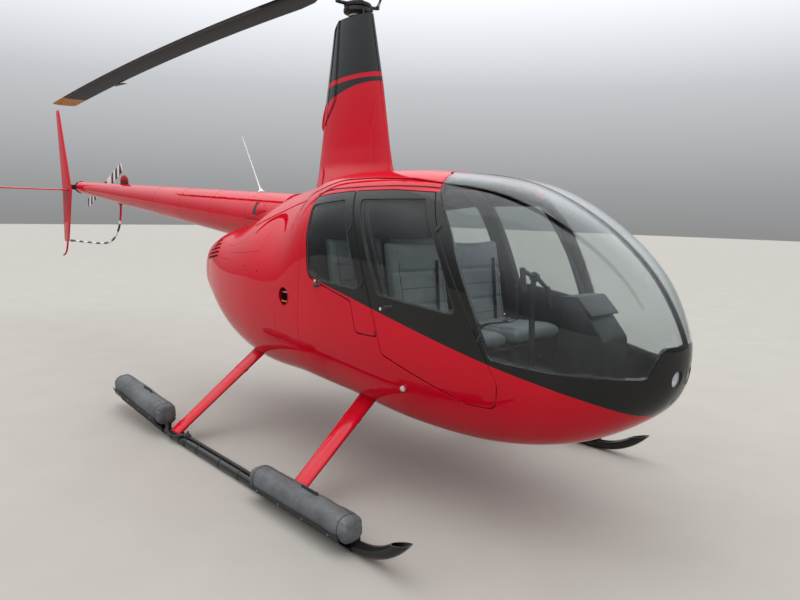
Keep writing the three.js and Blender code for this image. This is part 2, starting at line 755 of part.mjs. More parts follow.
// A low scoop on the boom's starboard root, its mouth towards the tail
const SCOOP = { x: -960, y: -196, z: 1628, length: 150, height: 96, proud: 34 };
const scoopRadii = [SCOOP.length, SCOOP.proud + 16, SCOOP.height / 2];
const boomScoop = ellipsoid([SCOOP.x, SCOOP.y, SCOOP.z], scoopRadii)
  .subtract(box(SCOOP.x - 400, SCOOP.x - 60, -FAR, 0, SCOOP.z - 200, SCOOP.z + 200))
  .subtract(boomCone(BOOM.rootX + 5, BOOM.endX + 5, BOOM_WALL - 2));
const tailBoom = mainBody(boomCone(BOOM.rootX, BOOM.endX, 0)
  .subtract(boomCone(BOOM.rootX + 10, BOOM.endX - 10, BOOM_WALL))
  .subtract(bar([TAIL_ROTOR.x, 0, TAIL_ROTOR.z], [TAIL_ROTOR.x, 150, TAIL_ROTOR.z], 42))
  .add(boomScoop)
  .subtract(HULL_CLEAR));

const endZ = boomHeight(BOOM.endX);
const gearboxCap = (extra) => bar(
  [BOOM.endX - FIT, 0, endZ],
  [BOOM.endX - 42 - extra, 0, endZ + 3],
  80 + extra,
  72 + extra,
  20,
);
const tailGearbox = joined(
  gearboxCap(0),
  bar([BOOM.endX - 20, 0, endZ], [BOOM.endX + 190, 0, boomHeight(BOOM.endX + 190)], 56, 56, 16),
  bar([TAIL_ROTOR.x, 0, TAIL_ROTOR.z], [TAIL_ROTOR.x, 205, TAIL_ROTOR.z], 38, 30, 14),
);

const tailRotorHub = joined(
  bar([0, 212, 0], [0, 300, 0], 30, 26, 14),
  box(-95, 95, 236, 288, -24, 24),
);

// Stations: radius, chord, thickness
function tailBladeSolid() {
  const stations = [
    [60, 60, 34],
    [130, 90, 26],
    [200, TAIL_ROTOR.chord, 18],
    [TAIL_ROTOR.radius, TAIL_ROTOR.chord, 12],
  ];
  const rings = stations.map(([r, chord, thickness]) => airfoil(chord, thickness, 12)
    .map(([z, y]) => new THREE.Vector3(r, TAIL_ROTOR.y + y, z)));
  return solid(loftRings(rings)).subtract(box(50, 95 + FIT, 230, 295, -50, 50));
}

// A flat surface with rounded edges, from an outline in side view
function finSolid(outline, y, halfThickness) {
  const shape = new THREE.Shape(outline.map(([x, z]) => new THREE.Vector2(x, z)));
  const bevel = halfThickness * 0.6;
  const geometry = new THREE.ExtrudeGeometry(shape, {
    depth: 2 * (halfThickness - bevel),
    bevelThickness: bevel,
    bevelSize: bevel,
    bevelOffset: -bevel,
    bevelSegments: 2,
  });
  geometry.rotateX(Math.PI / 2);
  geometry.translate(0, y + halfThickness - bevel, 0);
  return solid(geometry);
}

// Fin outlines: x, z
const UPPER_FIN = [
  [-5915, STABILISER.z],
  [-6320, STABILISER.z],
  [-6468, FIN.topZ - 20],
  [-6440, FIN.topZ],
  [-6345, FIN.topZ],
  [-6325, FIN.topZ - 20],
];
const LOWER_FIN = [
  [-5915, STABILISER.z + 1],
  [-6125, FIN.footZ + 10],
  [-6336, FIN.footZ],
  [-6322, STABILISER.z + 1],
];
const TAIL_SKID = [[-6190, FIN.y, 1135], [-6225, FIN.y, 1030], [-6300, FIN.y, 950], [-6400, FIN.y, 917]];
const finBracket = box(BOOM.endX - 90, BOOM.endX - 25, FIN.y, -45, endZ - 36, endZ + 36)
  .subtract(gearboxCap(FIT));
const verticalFin = mainBody(joined(
  finSolid(UPPER_FIN, FIN.y, FIN.halfThickness),
  finSolid(LOWER_FIN, FIN.y, FIN.halfThickness - 2),
  pipe(smoothPath(TAIL_SKID, 6), 13, 8),
  finBracket,
));

function stabiliserSolid() {
  const rootY = FIN.y - STABILISER.rootGap;
  const rings = [STABILISER.tipY, (STABILISER.tipY + rootY) / 2, rootY]
    .map((y) => airfoil(STABILISER.chord, 34, 14).map(([x, z]) => new THREE.Vector3(
      STABILISER.leadX - 0.3 * STABILISER.chord + x, y, STABILISER.z + 12 + z)));
  return solid(loftRings(rings));
}

const tailGuard = pipe(smoothPath([
  [-4540, 0, 1652],
  [-4560, 0, 1510],
  [-4640, 0, 1340],
  [-4860, 0, 1195],
  [-5160, -20, 1140],
  [-5700, -90, 1136],
  [-6075, FIN.y + 20, 1136],
], 20), 13, 8)
  .subtract(boomCone(BOOM.rootX, BOOM.endX, -FIT))
  .subtract(finSolid(LOWER_FIN, FIN.y, FIN.halfThickness - 1));

const antenna = bar([-1277, 0, 1768], [-1589, 0, 2250], 9, 3, 8)
  .subtract(boomCone(BOOM.rootX, BOOM.endX, -FIT));
const beaconX = -4398;
const beacon = joined(
  bar([beaconX, 0, 1800], [beaconX, 0, 1900], 48, 46, 20),
  ellipsoid([beaconX, 0, 1900], [46, 46, 92], 16),
).subtract(boomCone(BOOM.rootX, BOOM.endX, -FIT));

const exhaust = mainBody(pipe([[-560, 180, 620], [-640, 200, 500], [-730, 215, 400]], 38, 14)
  .subtract(HULL_CLEAR));

// Scene graph
const helicopter = new THREE.Group();
helicopter.name = 'helicopter';

function add(name, manifold, [color, roughness, metalness], parent = helicopter) {
  const material = new THREE.MeshStandardMaterial({ color, roughness, metalness });
  const mesh = new THREE.Mesh(geometryOf(manifold), material);
  mesh.name = name;
  parent.add(mesh);
  return mesh;
}

add('cabin_shell', cabinShell, RED);
add('roof_cowl', roofCowl, RED);
add('engine_cowl', engineCowl, RED);
add('mast_fairing', mastFairing, RED);
add('cabin_floor', cabinFloor, TRIM);
add('firewall', firewall, TRIM);
add('engine_block', engine, STEEL);
add('exhaust_pipe', exhaust, STEEL);
add('instrument_console', instrumentConsole, TRIM);
add('cyclic_stick', cyclic, TRIM);
for (const seat of SEATS) {
  add(seat.name, seatSolid(seat.frontX, 235).translate([0, seat.y, 0]), LEATHER);
}

for (const [side, place] of [['left', (m) => m], ['right', mirroredY]]) {
  add(`windshield_${side}`, place(windshieldHalf()), SMOKE);
  add(`door_front_${side}`, place(doorSolid(FRONT_DOOR, FRONT_WINDOW)), BLACK);
  add(`door_rear_${side}`, place(doorSolid(REAR_DOOR, REAR_WINDOW)), BLACK);
  add(`glass_front_${side}`, place(doorGlass(FRONT_WINDOW)), SMOKE);
  add(`glass_rear_${side}`, place(doorGlass(REAR_WINDOW)), SMOKE);
  add(`skid_${side}`, place(skidSolid(0)), BLACK);
  for (const bag of BAGS) {
    add(`float_bag_${bag.name}_${side}`, place(bagSolid(bag)), CANVAS);
  }
}
for (const gear of GEAR) {
  const runners = joined(skidSolid(0), mirroredY(skidSolid(0)));
  add(`gear_${gear.name}`, mainBody(gearSolid(gear, 0).subtract(runners)), RED);
}

add('tail_boom', tailBoom, RED);
add('tail_gearbox', tailGearbox, BLACK);
add('vertical_fin', verticalFin, RED);
add('stabiliser', stabiliserSolid(), RED);
add('tail_guard', tailGuard, WHITE);
add('antenna', antenna, WHITE);
add('beacon', beacon, BEACON_RED);
add('swashplate', swashplate, STEEL);

const mainRotor = new THREE.Group();
mainRotor.rotation.z = rotorTurn;
helicopter.add(mainRotor);
add('rotor_hub', rotorHub, BLACK, mainRotor);
add('main_blade_1', bladeSolid(), BLACK, mainRotor);
add('main_blade_2', bladeSolid().rotate([0, 0, 180]), BLACK, mainRotor);

const tailRotor = new THREE.Group();
tailRotor.position.set(TAIL_ROTOR.x, 0, TAIL_ROTOR.z);
tailRotor.rotation.y = -THREE.MathUtils.degToRad(TAIL_ROTOR.angle);
helicopter.add(tailRotor);
add('tail_rotor_hub', tailRotorHub, BLACK, tailRotor);
add('tail_blade_1', tailBladeSolid(), WHITE, tailRotor);
add('tail_blade_2', tailBladeSolid().rotate([0, 180, 0]), WHITE, tailRotor);

for (const [side, sign] of [['left', 1], ['right', -1]]) {
  add(`landing_light_${side}`, mainBody(lampBar(sign, 0).subtract(HULL_INNER).intersect(HULL)), LENS);
}

// The origin lies under the middle of the whole length
const reach = new THREE.Box3().setFromObject(helicopter, true);
helicopter.position.set(-(reach.min.x + reach.max.x) / 2, 0, -reach.min.z);
helicopter.updateMatrixWorld(true);

export default helicopter;
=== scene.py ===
import math

import bmesh
import bpy
import numpy as np
from mathutils import Matrix, Vector, kdtree, noise
from mathutils.bvhtree import BVHTree
from mathutils.geometry import delaunay_2d_cdt


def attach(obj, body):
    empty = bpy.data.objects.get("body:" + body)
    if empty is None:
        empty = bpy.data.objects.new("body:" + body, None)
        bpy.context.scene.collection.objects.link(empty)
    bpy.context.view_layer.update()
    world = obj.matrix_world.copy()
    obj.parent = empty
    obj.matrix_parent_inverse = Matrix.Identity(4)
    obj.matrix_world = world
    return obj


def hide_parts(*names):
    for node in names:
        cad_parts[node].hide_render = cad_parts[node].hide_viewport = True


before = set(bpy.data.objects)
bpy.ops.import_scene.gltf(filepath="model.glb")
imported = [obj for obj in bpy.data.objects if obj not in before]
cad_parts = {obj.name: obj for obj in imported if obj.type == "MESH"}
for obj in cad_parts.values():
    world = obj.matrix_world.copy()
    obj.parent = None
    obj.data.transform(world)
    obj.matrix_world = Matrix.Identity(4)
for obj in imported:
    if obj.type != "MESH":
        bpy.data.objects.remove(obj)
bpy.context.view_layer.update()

# Every table here is in millimetres from the foot of the rotor mast's axis: x forward, y to port,
# z up from the ground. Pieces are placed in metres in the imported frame.
MAST_X = 798.382


def metres(points):
    return (np.asarray(points, float) + (MAST_X, 0.0, 0.0)) / 1000.0


def added(name, data):
    """An object in the scene for a mesh, a camera or a lamp."""
    made = bpy.data.objects.new(name, data)
    bpy.context.scene.collection.objects.link(made)
    return made


# Camera, at the photograph's viewing angle
CAMERA_PLACE = (3619.0, -2932.0, 1601.0)
CAMERA_YAW = 136.877
CAMERA_PITCH = -7.595
CAMERA_ROLL = 1.265
FOCAL_PIXELS = 645.06
FRAME_WIDTH = 800
SENSOR = 36.0


def place_camera():
    yaw, pitch, roll = (math.radians(a) for a in (CAMERA_YAW, CAMERA_PITCH, CAMERA_ROLL))
    forward = Vector((math.cos(pitch) * math.cos(yaw), math.cos(pitch) * math.sin(yaw),
                      math.sin(pitch)))
    level = Vector((math.sin(yaw), -math.cos(yaw), 0.0))
    above = level.cross(forward)
    right = level * math.cos(roll) + above * math.sin(roll)
    up = above * math.cos(roll) - level * math.sin(roll)
    camera = added("camera", bpy.data.cameras.new("camera"))
    camera.data.sensor_width = SENSOR
    camera.data.lens = FOCAL_PIXELS / FRAME_WIDTH * SENSOR
    camera.data.clip_end = 200.0
    turn = Matrix((right, up, -forward)).transposed().to_4x4()
    camera.matrix_world = Matrix.Translation(metres(CAMERA_PLACE)) @ turn
    bpy.context.scene.camera = camera


place_camera()


# Finishes

class Value:
    """One output of a finish's nodes, used as a number in Python expressions."""

    def __init__(self, finish, socket):
        self.finish = finish
        self.socket = socket

    def __add__(self, other):
        return self.finish.math("ADD", self, other)

    def __rsub__(self, other):
        return self.finish.math("SUBTRACT", other, self)

    def __mul__(self, other):
        return self.finish.math("MULTIPLY", self, other)

    def __pow__(self, other):
        return self.finish.math("POWER", self, other)

    __radd__ = __add__
    __rmul__ = __mul__


class Finish:
    """The nodes that give a material, or the studio's backdrop, its colour, gloss and grain."""

    def __init__(self, name, store=None, coordinates="Object"):
        self.owner = (bpy.data.materials if store is None else store).new(name)
        self.owner.use_nodes = True
        self.tree = self.owner.node_tree
        self.tree.nodes.clear()
        self.place = self.node("TexCoord", output=coordinates)

    def node(self, kind, settings=None, inputs=None, output=0):
        made = self.tree.nodes.new("ShaderNode" + kind)
        for key, value in (settings or {}).items():
            if key == "stops":
                while len(made.color_ramp.elements) < len(value):
                    made.color_ramp.elements.new(0.5)
                for stop, (position, color) in zip(made.color_ramp.elements, value):
                    stop.position, stop.color = position, color
            else:
                setattr(made, key, value)
        for key, value in (inputs or {}).items():
            if isinstance(value, Value):
                self.tree.links.new(value.socket, made.inputs[key])
            else:
                made.inputs[key].default_value = value
        return Value(self, made.outputs[output])

    def math(self, operation, *values):
        return self.node("Math", dict(operation=operation), dict(enumerate(values)))

    def noise(self, scale, detail=3.0, roughness=0.5, place=None):
        inputs = dict(Vector=place or self.place, Scale=scale, Detail=detail, Roughness=roughness)
        return self.node("TexNoise", None, inputs)

    def stretched(self, x, y, z):
        return self.node("Mapping", None, dict(Vector=self.place, Scale=(x, y, z)))

    def axis(self, name):
        return self.node("SeparateXYZ", None, dict(Vector=self.place), output=name)

    def between(self, value, low, high):
        """0 below low, 1 above high, smooth in between."""
        return self.node("MapRange", dict(interpolation_type="SMOOTHSTEP"),
                         {"Value": value, "From Min": low, "From Max": high})

    def mix(self, factor, first, second):
        return self.node("Mix", dict(data_type="RGBA"), {0: factor, 6: first, 7: second}, output=2)

    def bump(self, height, distance, strength, normal=None):
        inputs = dict(Height=height, Distance=distance, Strength=strength)
        if normal:
            inputs["Normal"] = normal
        return self.node("Bump", None, inputs)

    def surface(self, color, roughness, normal, **constants):
        inputs = {"Base Color": color, "Roughness": roughness}
        if normal:
            inputs["Normal"] = normal
        inputs.update({key.replace("_", " "): value for key, value in constants.items()})
        return self.node("BsdfPrincipled", None, inputs)

    def through_glass(self, clear, share, skin):
        """Sight through, tinted by clear, with the skin over it; more of it at a flat angle."""
        through = self.node("BsdfTransparent", None, dict(Color=clear))
        return self.close(self.node("MixShader", None, {0: share, 1: through, 2: skin}))

    def slant(self):
        """0 seen square on, rising steeply to 1 at a flat angle."""
        return self.node("LayerWeight", None, dict(Blend=0.5), "Facing") ** 5.0

    def close(self, shader, kind="Material"):
        output = self.tree.nodes.new("ShaderNodeOutput" + kind)
        self.tree.links.new(shader.socket, output.inputs["Surface"])
        return self.owner


# Shapes

class Shape:
    """Points in millimetres, faces with a finish, and normals where the smooth ones are known."""

    def __init__(self, points, faces, finish, normals=None):
        self.points = np.asarray(points, float).reshape(-1, 3)
        self.faces = [tuple(int(i) for i in face) for face in faces]
        self.finishes = list(finish) if isinstance(finish, list) else [finish] * len(self.faces)
        self.normals = np.zeros_like(self.points) if normals is None else np.asarray(normals, float)

    def __add__(self, other):
        shift = len(self.points)
        faces = self.faces + [tuple(i + shift for i in face) for face in other.faces]
        return Shape(np.vstack([self.points, other.points]), faces, self.finishes + other.finishes,
                     np.vstack([self.normals, other.normals]))

    def mirrored(self):
        faces = [face[::-1] for face in self.faces]
        flip = (1.0, -1.0, 1.0)
        return Shape(self.points * flip, faces, self.finishes, self.normals * flip)

    def moved(self, x, y, z=0.0):
        return Shape(self.points + (x, y, z), self.faces, self.finishes, self.normals)

    def turned(self, degrees, axis, centre=(0.0, 0.0, 0.0)):
        turn = np.array(Matrix.Rotation(math.radians(degrees), 3, axis))
        points = (self.points - centre) @ turn.T + centre
        return Shape(points, self.faces, self.finishes, self.normals @ turn.T)

    def both_sides(self):
        return self + self.mirrored()


def total(shapes):
    shapes = [shapes] if isinstance(shapes, Shape) else list(shapes)
    result = shapes[0]
    for shape in shapes[1:]:
        result = result + shape
    return result


def unit(vectors):
    """A vector, or each of many, at length 1."""
    vectors = np.asarray(vectors, float)
    return vectors / np.maximum(np.linalg.norm(vectors, axis=-1, keepdims=True), 1e-9)


UP = (0, 0, 1)


def run_of(steps):
    """The distance run at each point of a line, from the lengths of its steps."""
    return np.concatenate([[0], np.cumsum(steps)])


def circle(count):
    """Angles evenly round a full turn."""
    return np.arange(count) * 2 * math.pi / count


def spoke(degrees):
    """The direction across the machine at an angle, 0 to port and 90 up."""
    return np.array((0.0, math.cos(math.radians(degrees)), math.sin(math.radians(degrees))))


def cross_way(way):
    """A direction square to another."""
    return unit(np.cross(way, (0.0, 1.0, 0.0) if abs(way[1]) < 0.9 else (1.0, 0.0, 0.0)))


def loft(rings, finish, closed_ends=True, joined_ends=False):
    """A surface through rings of equal count, each ring anticlockwise seen against the path."""
    rings = np.asarray(rings, float)
    rows, count = rings.shape[:2]
    faces = []
    for i in range(rows if joined_ends else rows - 1):
        here, after = i * count, (i + 1) % rows * count
        faces += [(here + j, here + (j + 1) % count, after + (j + 1) % count, after + j)
                  for j in range(count)]
    if closed_ends and not joined_ends:
        faces.append(tuple(range(count))[::-1])
        faces.append(tuple(range((rows - 1) * count, rows * count)))
    return Shape(rings.reshape(-1, 3), faces, finish)


def path_frames(path):
    """Two directions across the path at each point, turned as little as possible on the way."""
    path = np.asarray(path, float)
    tangents = unit(np.gradient(path, axis=0))
    across = cross_way(tangents[0])
    frames = []
    for tangent in tangents:
        across = unit(across - tangent * np.dot(across, tangent))
        frames.append((across, np.cross(tangent, across)))
    return frames


def tube(path, radius, finish, sides, flat=1.0, soft=0.0, joined_ends=False):
    """A round bar along a path; soft rounds its two ends by that length."""
    path = np.asarray(path, float)
    radii = np.broadcast_to(np.asarray(radius, float), len(path)).copy()
    if soft:
        start, end = unit(path[1] - path[0]), unit(path[-1] - path[-2])
        lead, shares = np.array([[0.0], [0.35]]), np.array([0.55, 0.87])
        path = np.vstack([path[0] + start * soft * lead, path[0] + start * soft, path[1:-1],
                          path[-1] - end * soft, path[-1] - end * soft * lead[::-1]])
        radii = np.concatenate([radii[0] * shares, radii, radii[-1] * shares[::-1]])
    frames = path_frames(path)
    if joined_ends:
        path, radii = path[:-1], radii[:-1]
    angles = circle(sides)
    rings = [centre + size * (np.outer(np.cos(angles), a) + flat * np.outer(np.sin(angles), b))
             for centre, size, (a, b) in zip(path, radii, frames)]
    return loft(rings, finish, joined_ends=joined_ends)


def bar(start, end, radius, finish, end_radius=None, sides=20, soft=0.0):
    radii = [radius, radius if end_radius is None else end_radius]
    return tube([start, end], radii, finish, sides, soft=soft)


def lathe(profile, start, axis, finish, sides=32):
    """A lathe shape: profile lists height along the axis and radius, from foot to top."""
    axis = unit(axis)
    across = cross_way(axis)
    other = np.cross(axis, across)
    angles = circle(sides)
    ways = np.outer(np.cos(angles), across) + np.outer(np.sin(angles), other)
    rings = [np.asarray(start, float) + axis * h + max(r, 0.01) * ways for h, r in profile]
    return loft(rings, finish)


def curved(points, spacing):
    """A smooth line through the listed points."""
    points = np.asarray(points, float)
    line = [2 * points[0] - points[1], *points, 2 * points[-1] - points[-2]]
    out = []
    for a, b, c, d in zip(line, line[1:], line[2:], line[3:]):
        steps = max(1, round(np.linalg.norm(c - b) / spacing))
        for s in np.arange(steps) / steps:
            out.append(0.5 * (2 * b + (c - a) * s + (2 * a - 5 * b + 4 * c - d) * s ** 2
                              + (3 * b - a - 3 * c + d) * s ** 3))
    return np.array([*out, points[-1]])


def softened(shape, width, segments):
    """The shape with its sharp edges, over 30 degrees, rounded."""
    mesh = bmesh.new()
    points = [mesh.verts.new(p) for p in shape.points]
    names = sorted(set(shape.finishes))
    for face, finish in zip(shape.faces, shape.finishes):
        mesh.faces.new([points[i] for i in face]).material_index = names.index(finish)
    mesh.normal_update()
    sharp = [e for e in mesh.edges if len(e.link_faces) == 2
             and e.calc_face_angle() > math.radians(30)]
    bmesh.ops.bevel(mesh, geom=sharp, offset=width, segments=segments, profile=0.5, affect="EDGES",
                    clamp_overlap=True, material=-1)
    mesh.verts.index_update()
    result = Shape([v.co[:] for v in mesh.verts], [[v.index for v in f.verts] for f in mesh.faces],
                   [names[f.material_index] for f in mesh.faces])
    mesh.free()
    return result


def block(x, y, z, finish, width, segments=2):
    """A box between two values on each axis, with rounded edges."""
    corners = [(a, b, c) for a in x for b in y for c in z]
    faces = [(0, 1, 3, 2), (4, 6, 7, 5), (0, 4, 5, 1), (2, 3, 7, 6), (0, 2, 6, 4), (1, 5, 7, 3)]
    return softened(Shape(corners, faces, finish), width, segments)


def plate(outline, low, high, finish, width, segments=2):
    """A side view's outline made into a slab between two y values, with rounded edges."""
    outline = [tuple(p[:2]) for p in outline]
    area = sum(a[0] * b[1] - b[0] * a[1] for a, b in zip(outline, outline[1:] + outline[:1]))
    if area < 0:
        outline = outline[::-1]
    rings = [[(x, y, z) for x, z in outline] for y in (high, low)]
    return softened(loft(rings, finish), width, segments)


def rounded(corners):
    """Corner outlines, each corner x, z and a radius, as points all the way round."""
    points = []
    places = np.array([c[:2] for c in corners], float)
    for here, before, after, (_, _, radius) in zip(places, np.roll(places, 1, axis=0),
                                                   np.roll(places, -1, axis=0), corners):
        before, after = before - here, after - here
        cosine = np.dot(before, after) / np.linalg.norm(before) / np.linalg.norm(after)
        bend = math.pi - math.acos(max(-1.0, min(1.0, cosine)))
        reach = min(radius * math.tan(bend / 2), 0.45 * np.linalg.norm(before),
                    0.45 * np.linalg.norm(after))
        if reach < 1:
            points.append(here)
            continue
        start, end = here + unit(before) * reach, here + unit(after) * reach
        steps = max(3, round(bend / 0.35))
        for s in np.arange(steps + 1) / steps:
            points.append((1 - s) ** 2 * start + 2 * s * (1 - s) * here + s ** 2 * end)
    return np.array(points)


def grown(corners, distance):
    """Corner outlines moved outwards, or inwards where the distance is below zero."""
    places = np.array([c[:2] for c in corners], float)
    after = np.roll(places, -1, axis=0)
    turn = 1 if np.sum(places[:, 0] * after[:, 1] - after[:, 0] * places[:, 1]) > 0 else -1
    ways = unit(after - places)
    edges = places + np.stack([ways[:, 1], -ways[:, 0]], axis=1) * turn * distance
    result = []
    for i, corner in enumerate(corners):
        first, second = ways[i - 1], ways[i]
        cross = first[0] * second[1] - first[1] * second[0]
        gap = edges[i] - edges[i - 1]
        reach = (gap[0] * second[1] - gap[1] * second[0]) / cross
        x, z = edges[i - 1] + first * reach
        result.append((x, z, max(corner[2] + distance * (1 if cross * turn > 0 else -1), 0)))
    return result


def mesh_of(name, shape):
    mesh = bpy.data.meshes.new(name)
    mesh.from_pydata(metres(shape.points).tolist(), [], shape.faces)
    return mesh


def piece(name, shapes, body="airframe", smooth=35.0):
    """One named object riding on its body, in place of the solid that has its name."""
    shape = total(shapes)
    mesh = mesh_of(name, shape)
    names = sorted(set(shape.finishes), key=shape.finishes.index)
    for finish in names:
        mesh.materials.append(FINISHES[finish])
    mesh.polygons.foreach_set("material_index", [names.index(f) for f in shape.finishes])
    mesh.validate()
    mesh.shade_smooth()
    mesh.set_sharp_from_angle(angle=math.radians(smooth))
    if np.any(shape.normals) and len(mesh.vertices) == len(shape.points):
        mesh.normals_split_custom_set_from_vertices(shape.normals.tolist())
    made = added(name, mesh)
    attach(made, body)
    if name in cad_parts:
        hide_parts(name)
    return made


def pair(name, shapes, body="airframe", smooth=35.0):
    """A port piece and its mirror image to starboard; {} in a name stands for the side."""
    shape = total(shapes)
    return [piece(name.format(side), one, body.format(side), smooth)
            for side, one in (("left", shape), ("right", shape.mirrored()))]


# The body's skin

# Sections: x, top, bottom, half width, height of the widest point, upper and lower exponents
SECTIONS = [
    (2416, 966, 966, 0, 966, 2.2, 2.2),
    (2372, 1128, 776, 148, 980, 2.1, 2.4),
    (2220, 1360, 619, 324, 980, 2.4, 2.4),
    (1950, 1587, 469, 471, 980, 2.6, 2.6),
    (1550, 1776, 373, 580, 1000, 3.1, 2.7),
    (1050, 1852, 365, 641, 1050, 3.7, 2.9),
    (500, 1862, 415, 662, 1080, 3.9, 2.9),
    (250, 1857, 432, 659, 1080, 3.2, 2.95),
    (0, 1848, 450, 652, 1080, 2.0, 3.0),
    (-500, 1742, 452, 619, 1080, 1.9, 3.0),
    (-1000, 1545, 539, 534, 1080, 2.1, 2.8),
    (-1400, 1426, 713, 419, 1080, 3.0, 2.6),
    (-1700, 1319, 887, 290, 1080, 2.7, 2.3),
    (-1850, 1077, 1077, 0, 1077, 2.4, 2.4),
]
ROW_STEPS = 14
COLUMNS = 241
HALF_GIRTH = 2150.0


def smooth_rows(sections, steps):
    rows = np.array(sections, float)
    flipped = [row[[0, 2, 1, 3, 4, 5, 6]] * (1, 1, 1, -1, 1, 1, 1) for row in (rows[1], rows[-2])]
    every = np.vstack([flipped[0], rows, flipped[1]])
    steps_between = np.diff(every, axis=0)
    gaps = np.sqrt(np.linalg.norm(steps_between[:, :4], axis=1))[:, None]
    slopes = steps_between / gaps
    tangents = (slopes[:-1] * gaps[1:] + slopes[1:] * gaps[:-1]) / (gaps[:-1] + gaps[1:])
    smooth = []
    for i in range(len(rows) - 1):
        for s in np.arange(steps) / steps:
            smooth.append((2 * s ** 3 - 3 * s ** 2 + 1) * rows[i]
                          + (s ** 3 - 2 * s ** 2 + s) * gaps[i + 1] * tangents[i]
                          + (3 * s ** 2 - 2 * s ** 3) * rows[i + 1]
                          + (s ** 3 - s ** 2) * gaps[i + 1] * tangents[i + 1])
    return np.vstack([smooth, rows[-1:]])


def port_half(row):
    """The port half of one section, from the keel up, at even distances."""
    x, top, bottom, half, widest, upper, lower = row
    angle = np.radians(np.linspace(-90, 90, 1441))
    across, rise = np.abs(np.cos(angle)), np.sin(angle)
    power = np.where(rise >= 0, upper, lower)
    reach = (across ** power + np.abs(rise) ** power) ** (-1 / power)
    y = half * reach * across
    y[[0, -1]] = 0
    z = widest + np.where(rise >= 0, top - widest, widest - bottom) * reach * rise
    run = run_of(np.hypot(np.diff(y), np.diff(z)))
    even = np.linspace(0, run[-1], COLUMNS)
    return np.stack([np.full(COLUMNS, x), np.interp(even, run, y), np.interp(even, run, z)], axis=1)


ROWS = smooth_rows(SECTIONS, ROW_STEPS)
ROW_INDEX = np.arange(len(ROWS))
COLUMN_PLACE = np.linspace(0, HALF_GIRTH, COLUMNS)
NET = np.array([port_half(row) for row in ROWS])
NET_NORMALS = np.cross(np.gradient(NET, axis=0), np.gradient(NET, axis=1))
NET_NORMALS[:, [0, -1], 1] = 0
NET_NORMALS = unit(NET_NORMALS)
NET_NORMALS[0], NET_NORMALS[-1] = (1, 0, 0), (-1, 0, 0)
ROW_PLACE = run_of(np.linalg.norm(np.diff(NET, axis=0), axis=2).mean(axis=1))


def on_net(table, places):
    """A net's values at places u, from the nose back, and v, from the keel up."""
    places = np.asarray(places, float)
    row = np.interp(places[:, 0], ROW_PLACE, ROW_INDEX)
    column = np.clip(places[:, 1] / HALF_GIRTH, 0, 1) * (COLUMNS - 1)
    i = np.minimum(row.astype(int), len(ROWS) - 2)
    j = np.minimum(column.astype(int), COLUMNS - 2)
    a, b = (row - i)[:, None], (column - j)[:, None]
    return ((1 - a) * (1 - b) * table[i, j] + a * (1 - b) * table[i + 1, j]
            + (1 - a) * b * table[i, j + 1] + a * b * table[i + 1, j + 1])


def side_place(x, z):
    """u and v of the port side's point at x and z, and whether the side view reaches it."""
    row = float(np.interp(-x, -ROWS[:, 0], ROW_INDEX))
    i = min(int(row), len(ROWS) - 2)
    heights = (1 - row + i) * NET[i, :, 2] + (row - i) * NET[i + 1, :, 2]
    seen = heights[0] <= z <= heights[-1] and ROWS[-1, 0] < x < ROWS[0, 0]
    return np.interp(row, ROW_INDEX, ROW_PLACE), np.interp(z, heights, COLUMN_PLACE), seen


def nose_place(y, z):
    """u and v of the nose's port half at y and z."""
    low, high = 1.0, 3.0 * ROW_STEPS
    for _ in range(30):
        middle = (low + high) / 2
        row = np.array([np.interp(middle, ROW_INDEX, ROWS[:, k]) for k in range(7)])
        height = row[1] - row[4] if z > row[4] else row[4] - row[2]
        power = row[5] if z > row[4] else row[6]
        outside = (abs(y) / row[3]) ** power + (abs(z - row[4]) / height) ** power > 1
        low, high = (middle, high) if outside else (low, middle)
    i = int(middle)
    half = (1 - middle + i) * NET[i] + (middle - i) * NET[i + 1]
    angles = np.arctan2(half[:, 2] - row[4], half[:, 1])
    around = math.atan2(z - row[4], y)
    return np.interp(middle, ROW_INDEX, ROW_PLACE), np.interp(around, angles, COLUMN_PLACE)


def skin_point(x, z, out=0.0):
    """A point and the normal on the port side at x and z, moved outwards."""
    u, v, _ = side_place(x, z)
    normal = unit(on_net(NET_NORMALS, [(u, v)])[0])
    return on_net(NET, [(u, v)])[0] + normal * out, normal


def top_height(x, y):
    """Height of the skin's upper side above x and y."""
    row = [np.interp(-x, -ROWS[:, 0], ROWS[:, k]) for k in range(7)]
    return row[4] + (row[1] - row[4]) * max(1 - (abs(y) / row[3]) ** row[5], 0) ** (1 / row[5])


def filled(points, spacing):
    """A line with points added so that no step is longer than the spacing."""
    result = [points[0]]
    for a, b in zip(points, points[1:]):
        steps = max(1, math.ceil(np.linalg.norm(b - a) / spacing))
        result += [a + (b - a) * s / steps for s in range(1, steps + 1)]
    return np.array(result)


LINE_SPACING = 22.0


def thinned(places, spacing):
    """Fewer places along a line on the skin, close together only where it turns."""
    points = on_net(NET, places)
    keep = [0]
    for i in range(1, len(places) - 1):
        gap = np.linalg.norm(points[i] - points[keep[-1]])
        ahead = points[min(i + 2, len(points) - 1)] - points[i]
        bend = np.dot(unit(points[i] - points[keep[-1]]), unit(ahead))
        if gap > spacing or gap > 3 and bend < 0.97:
            keep.append(i)
    return places[keep + [len(places) - 1]]


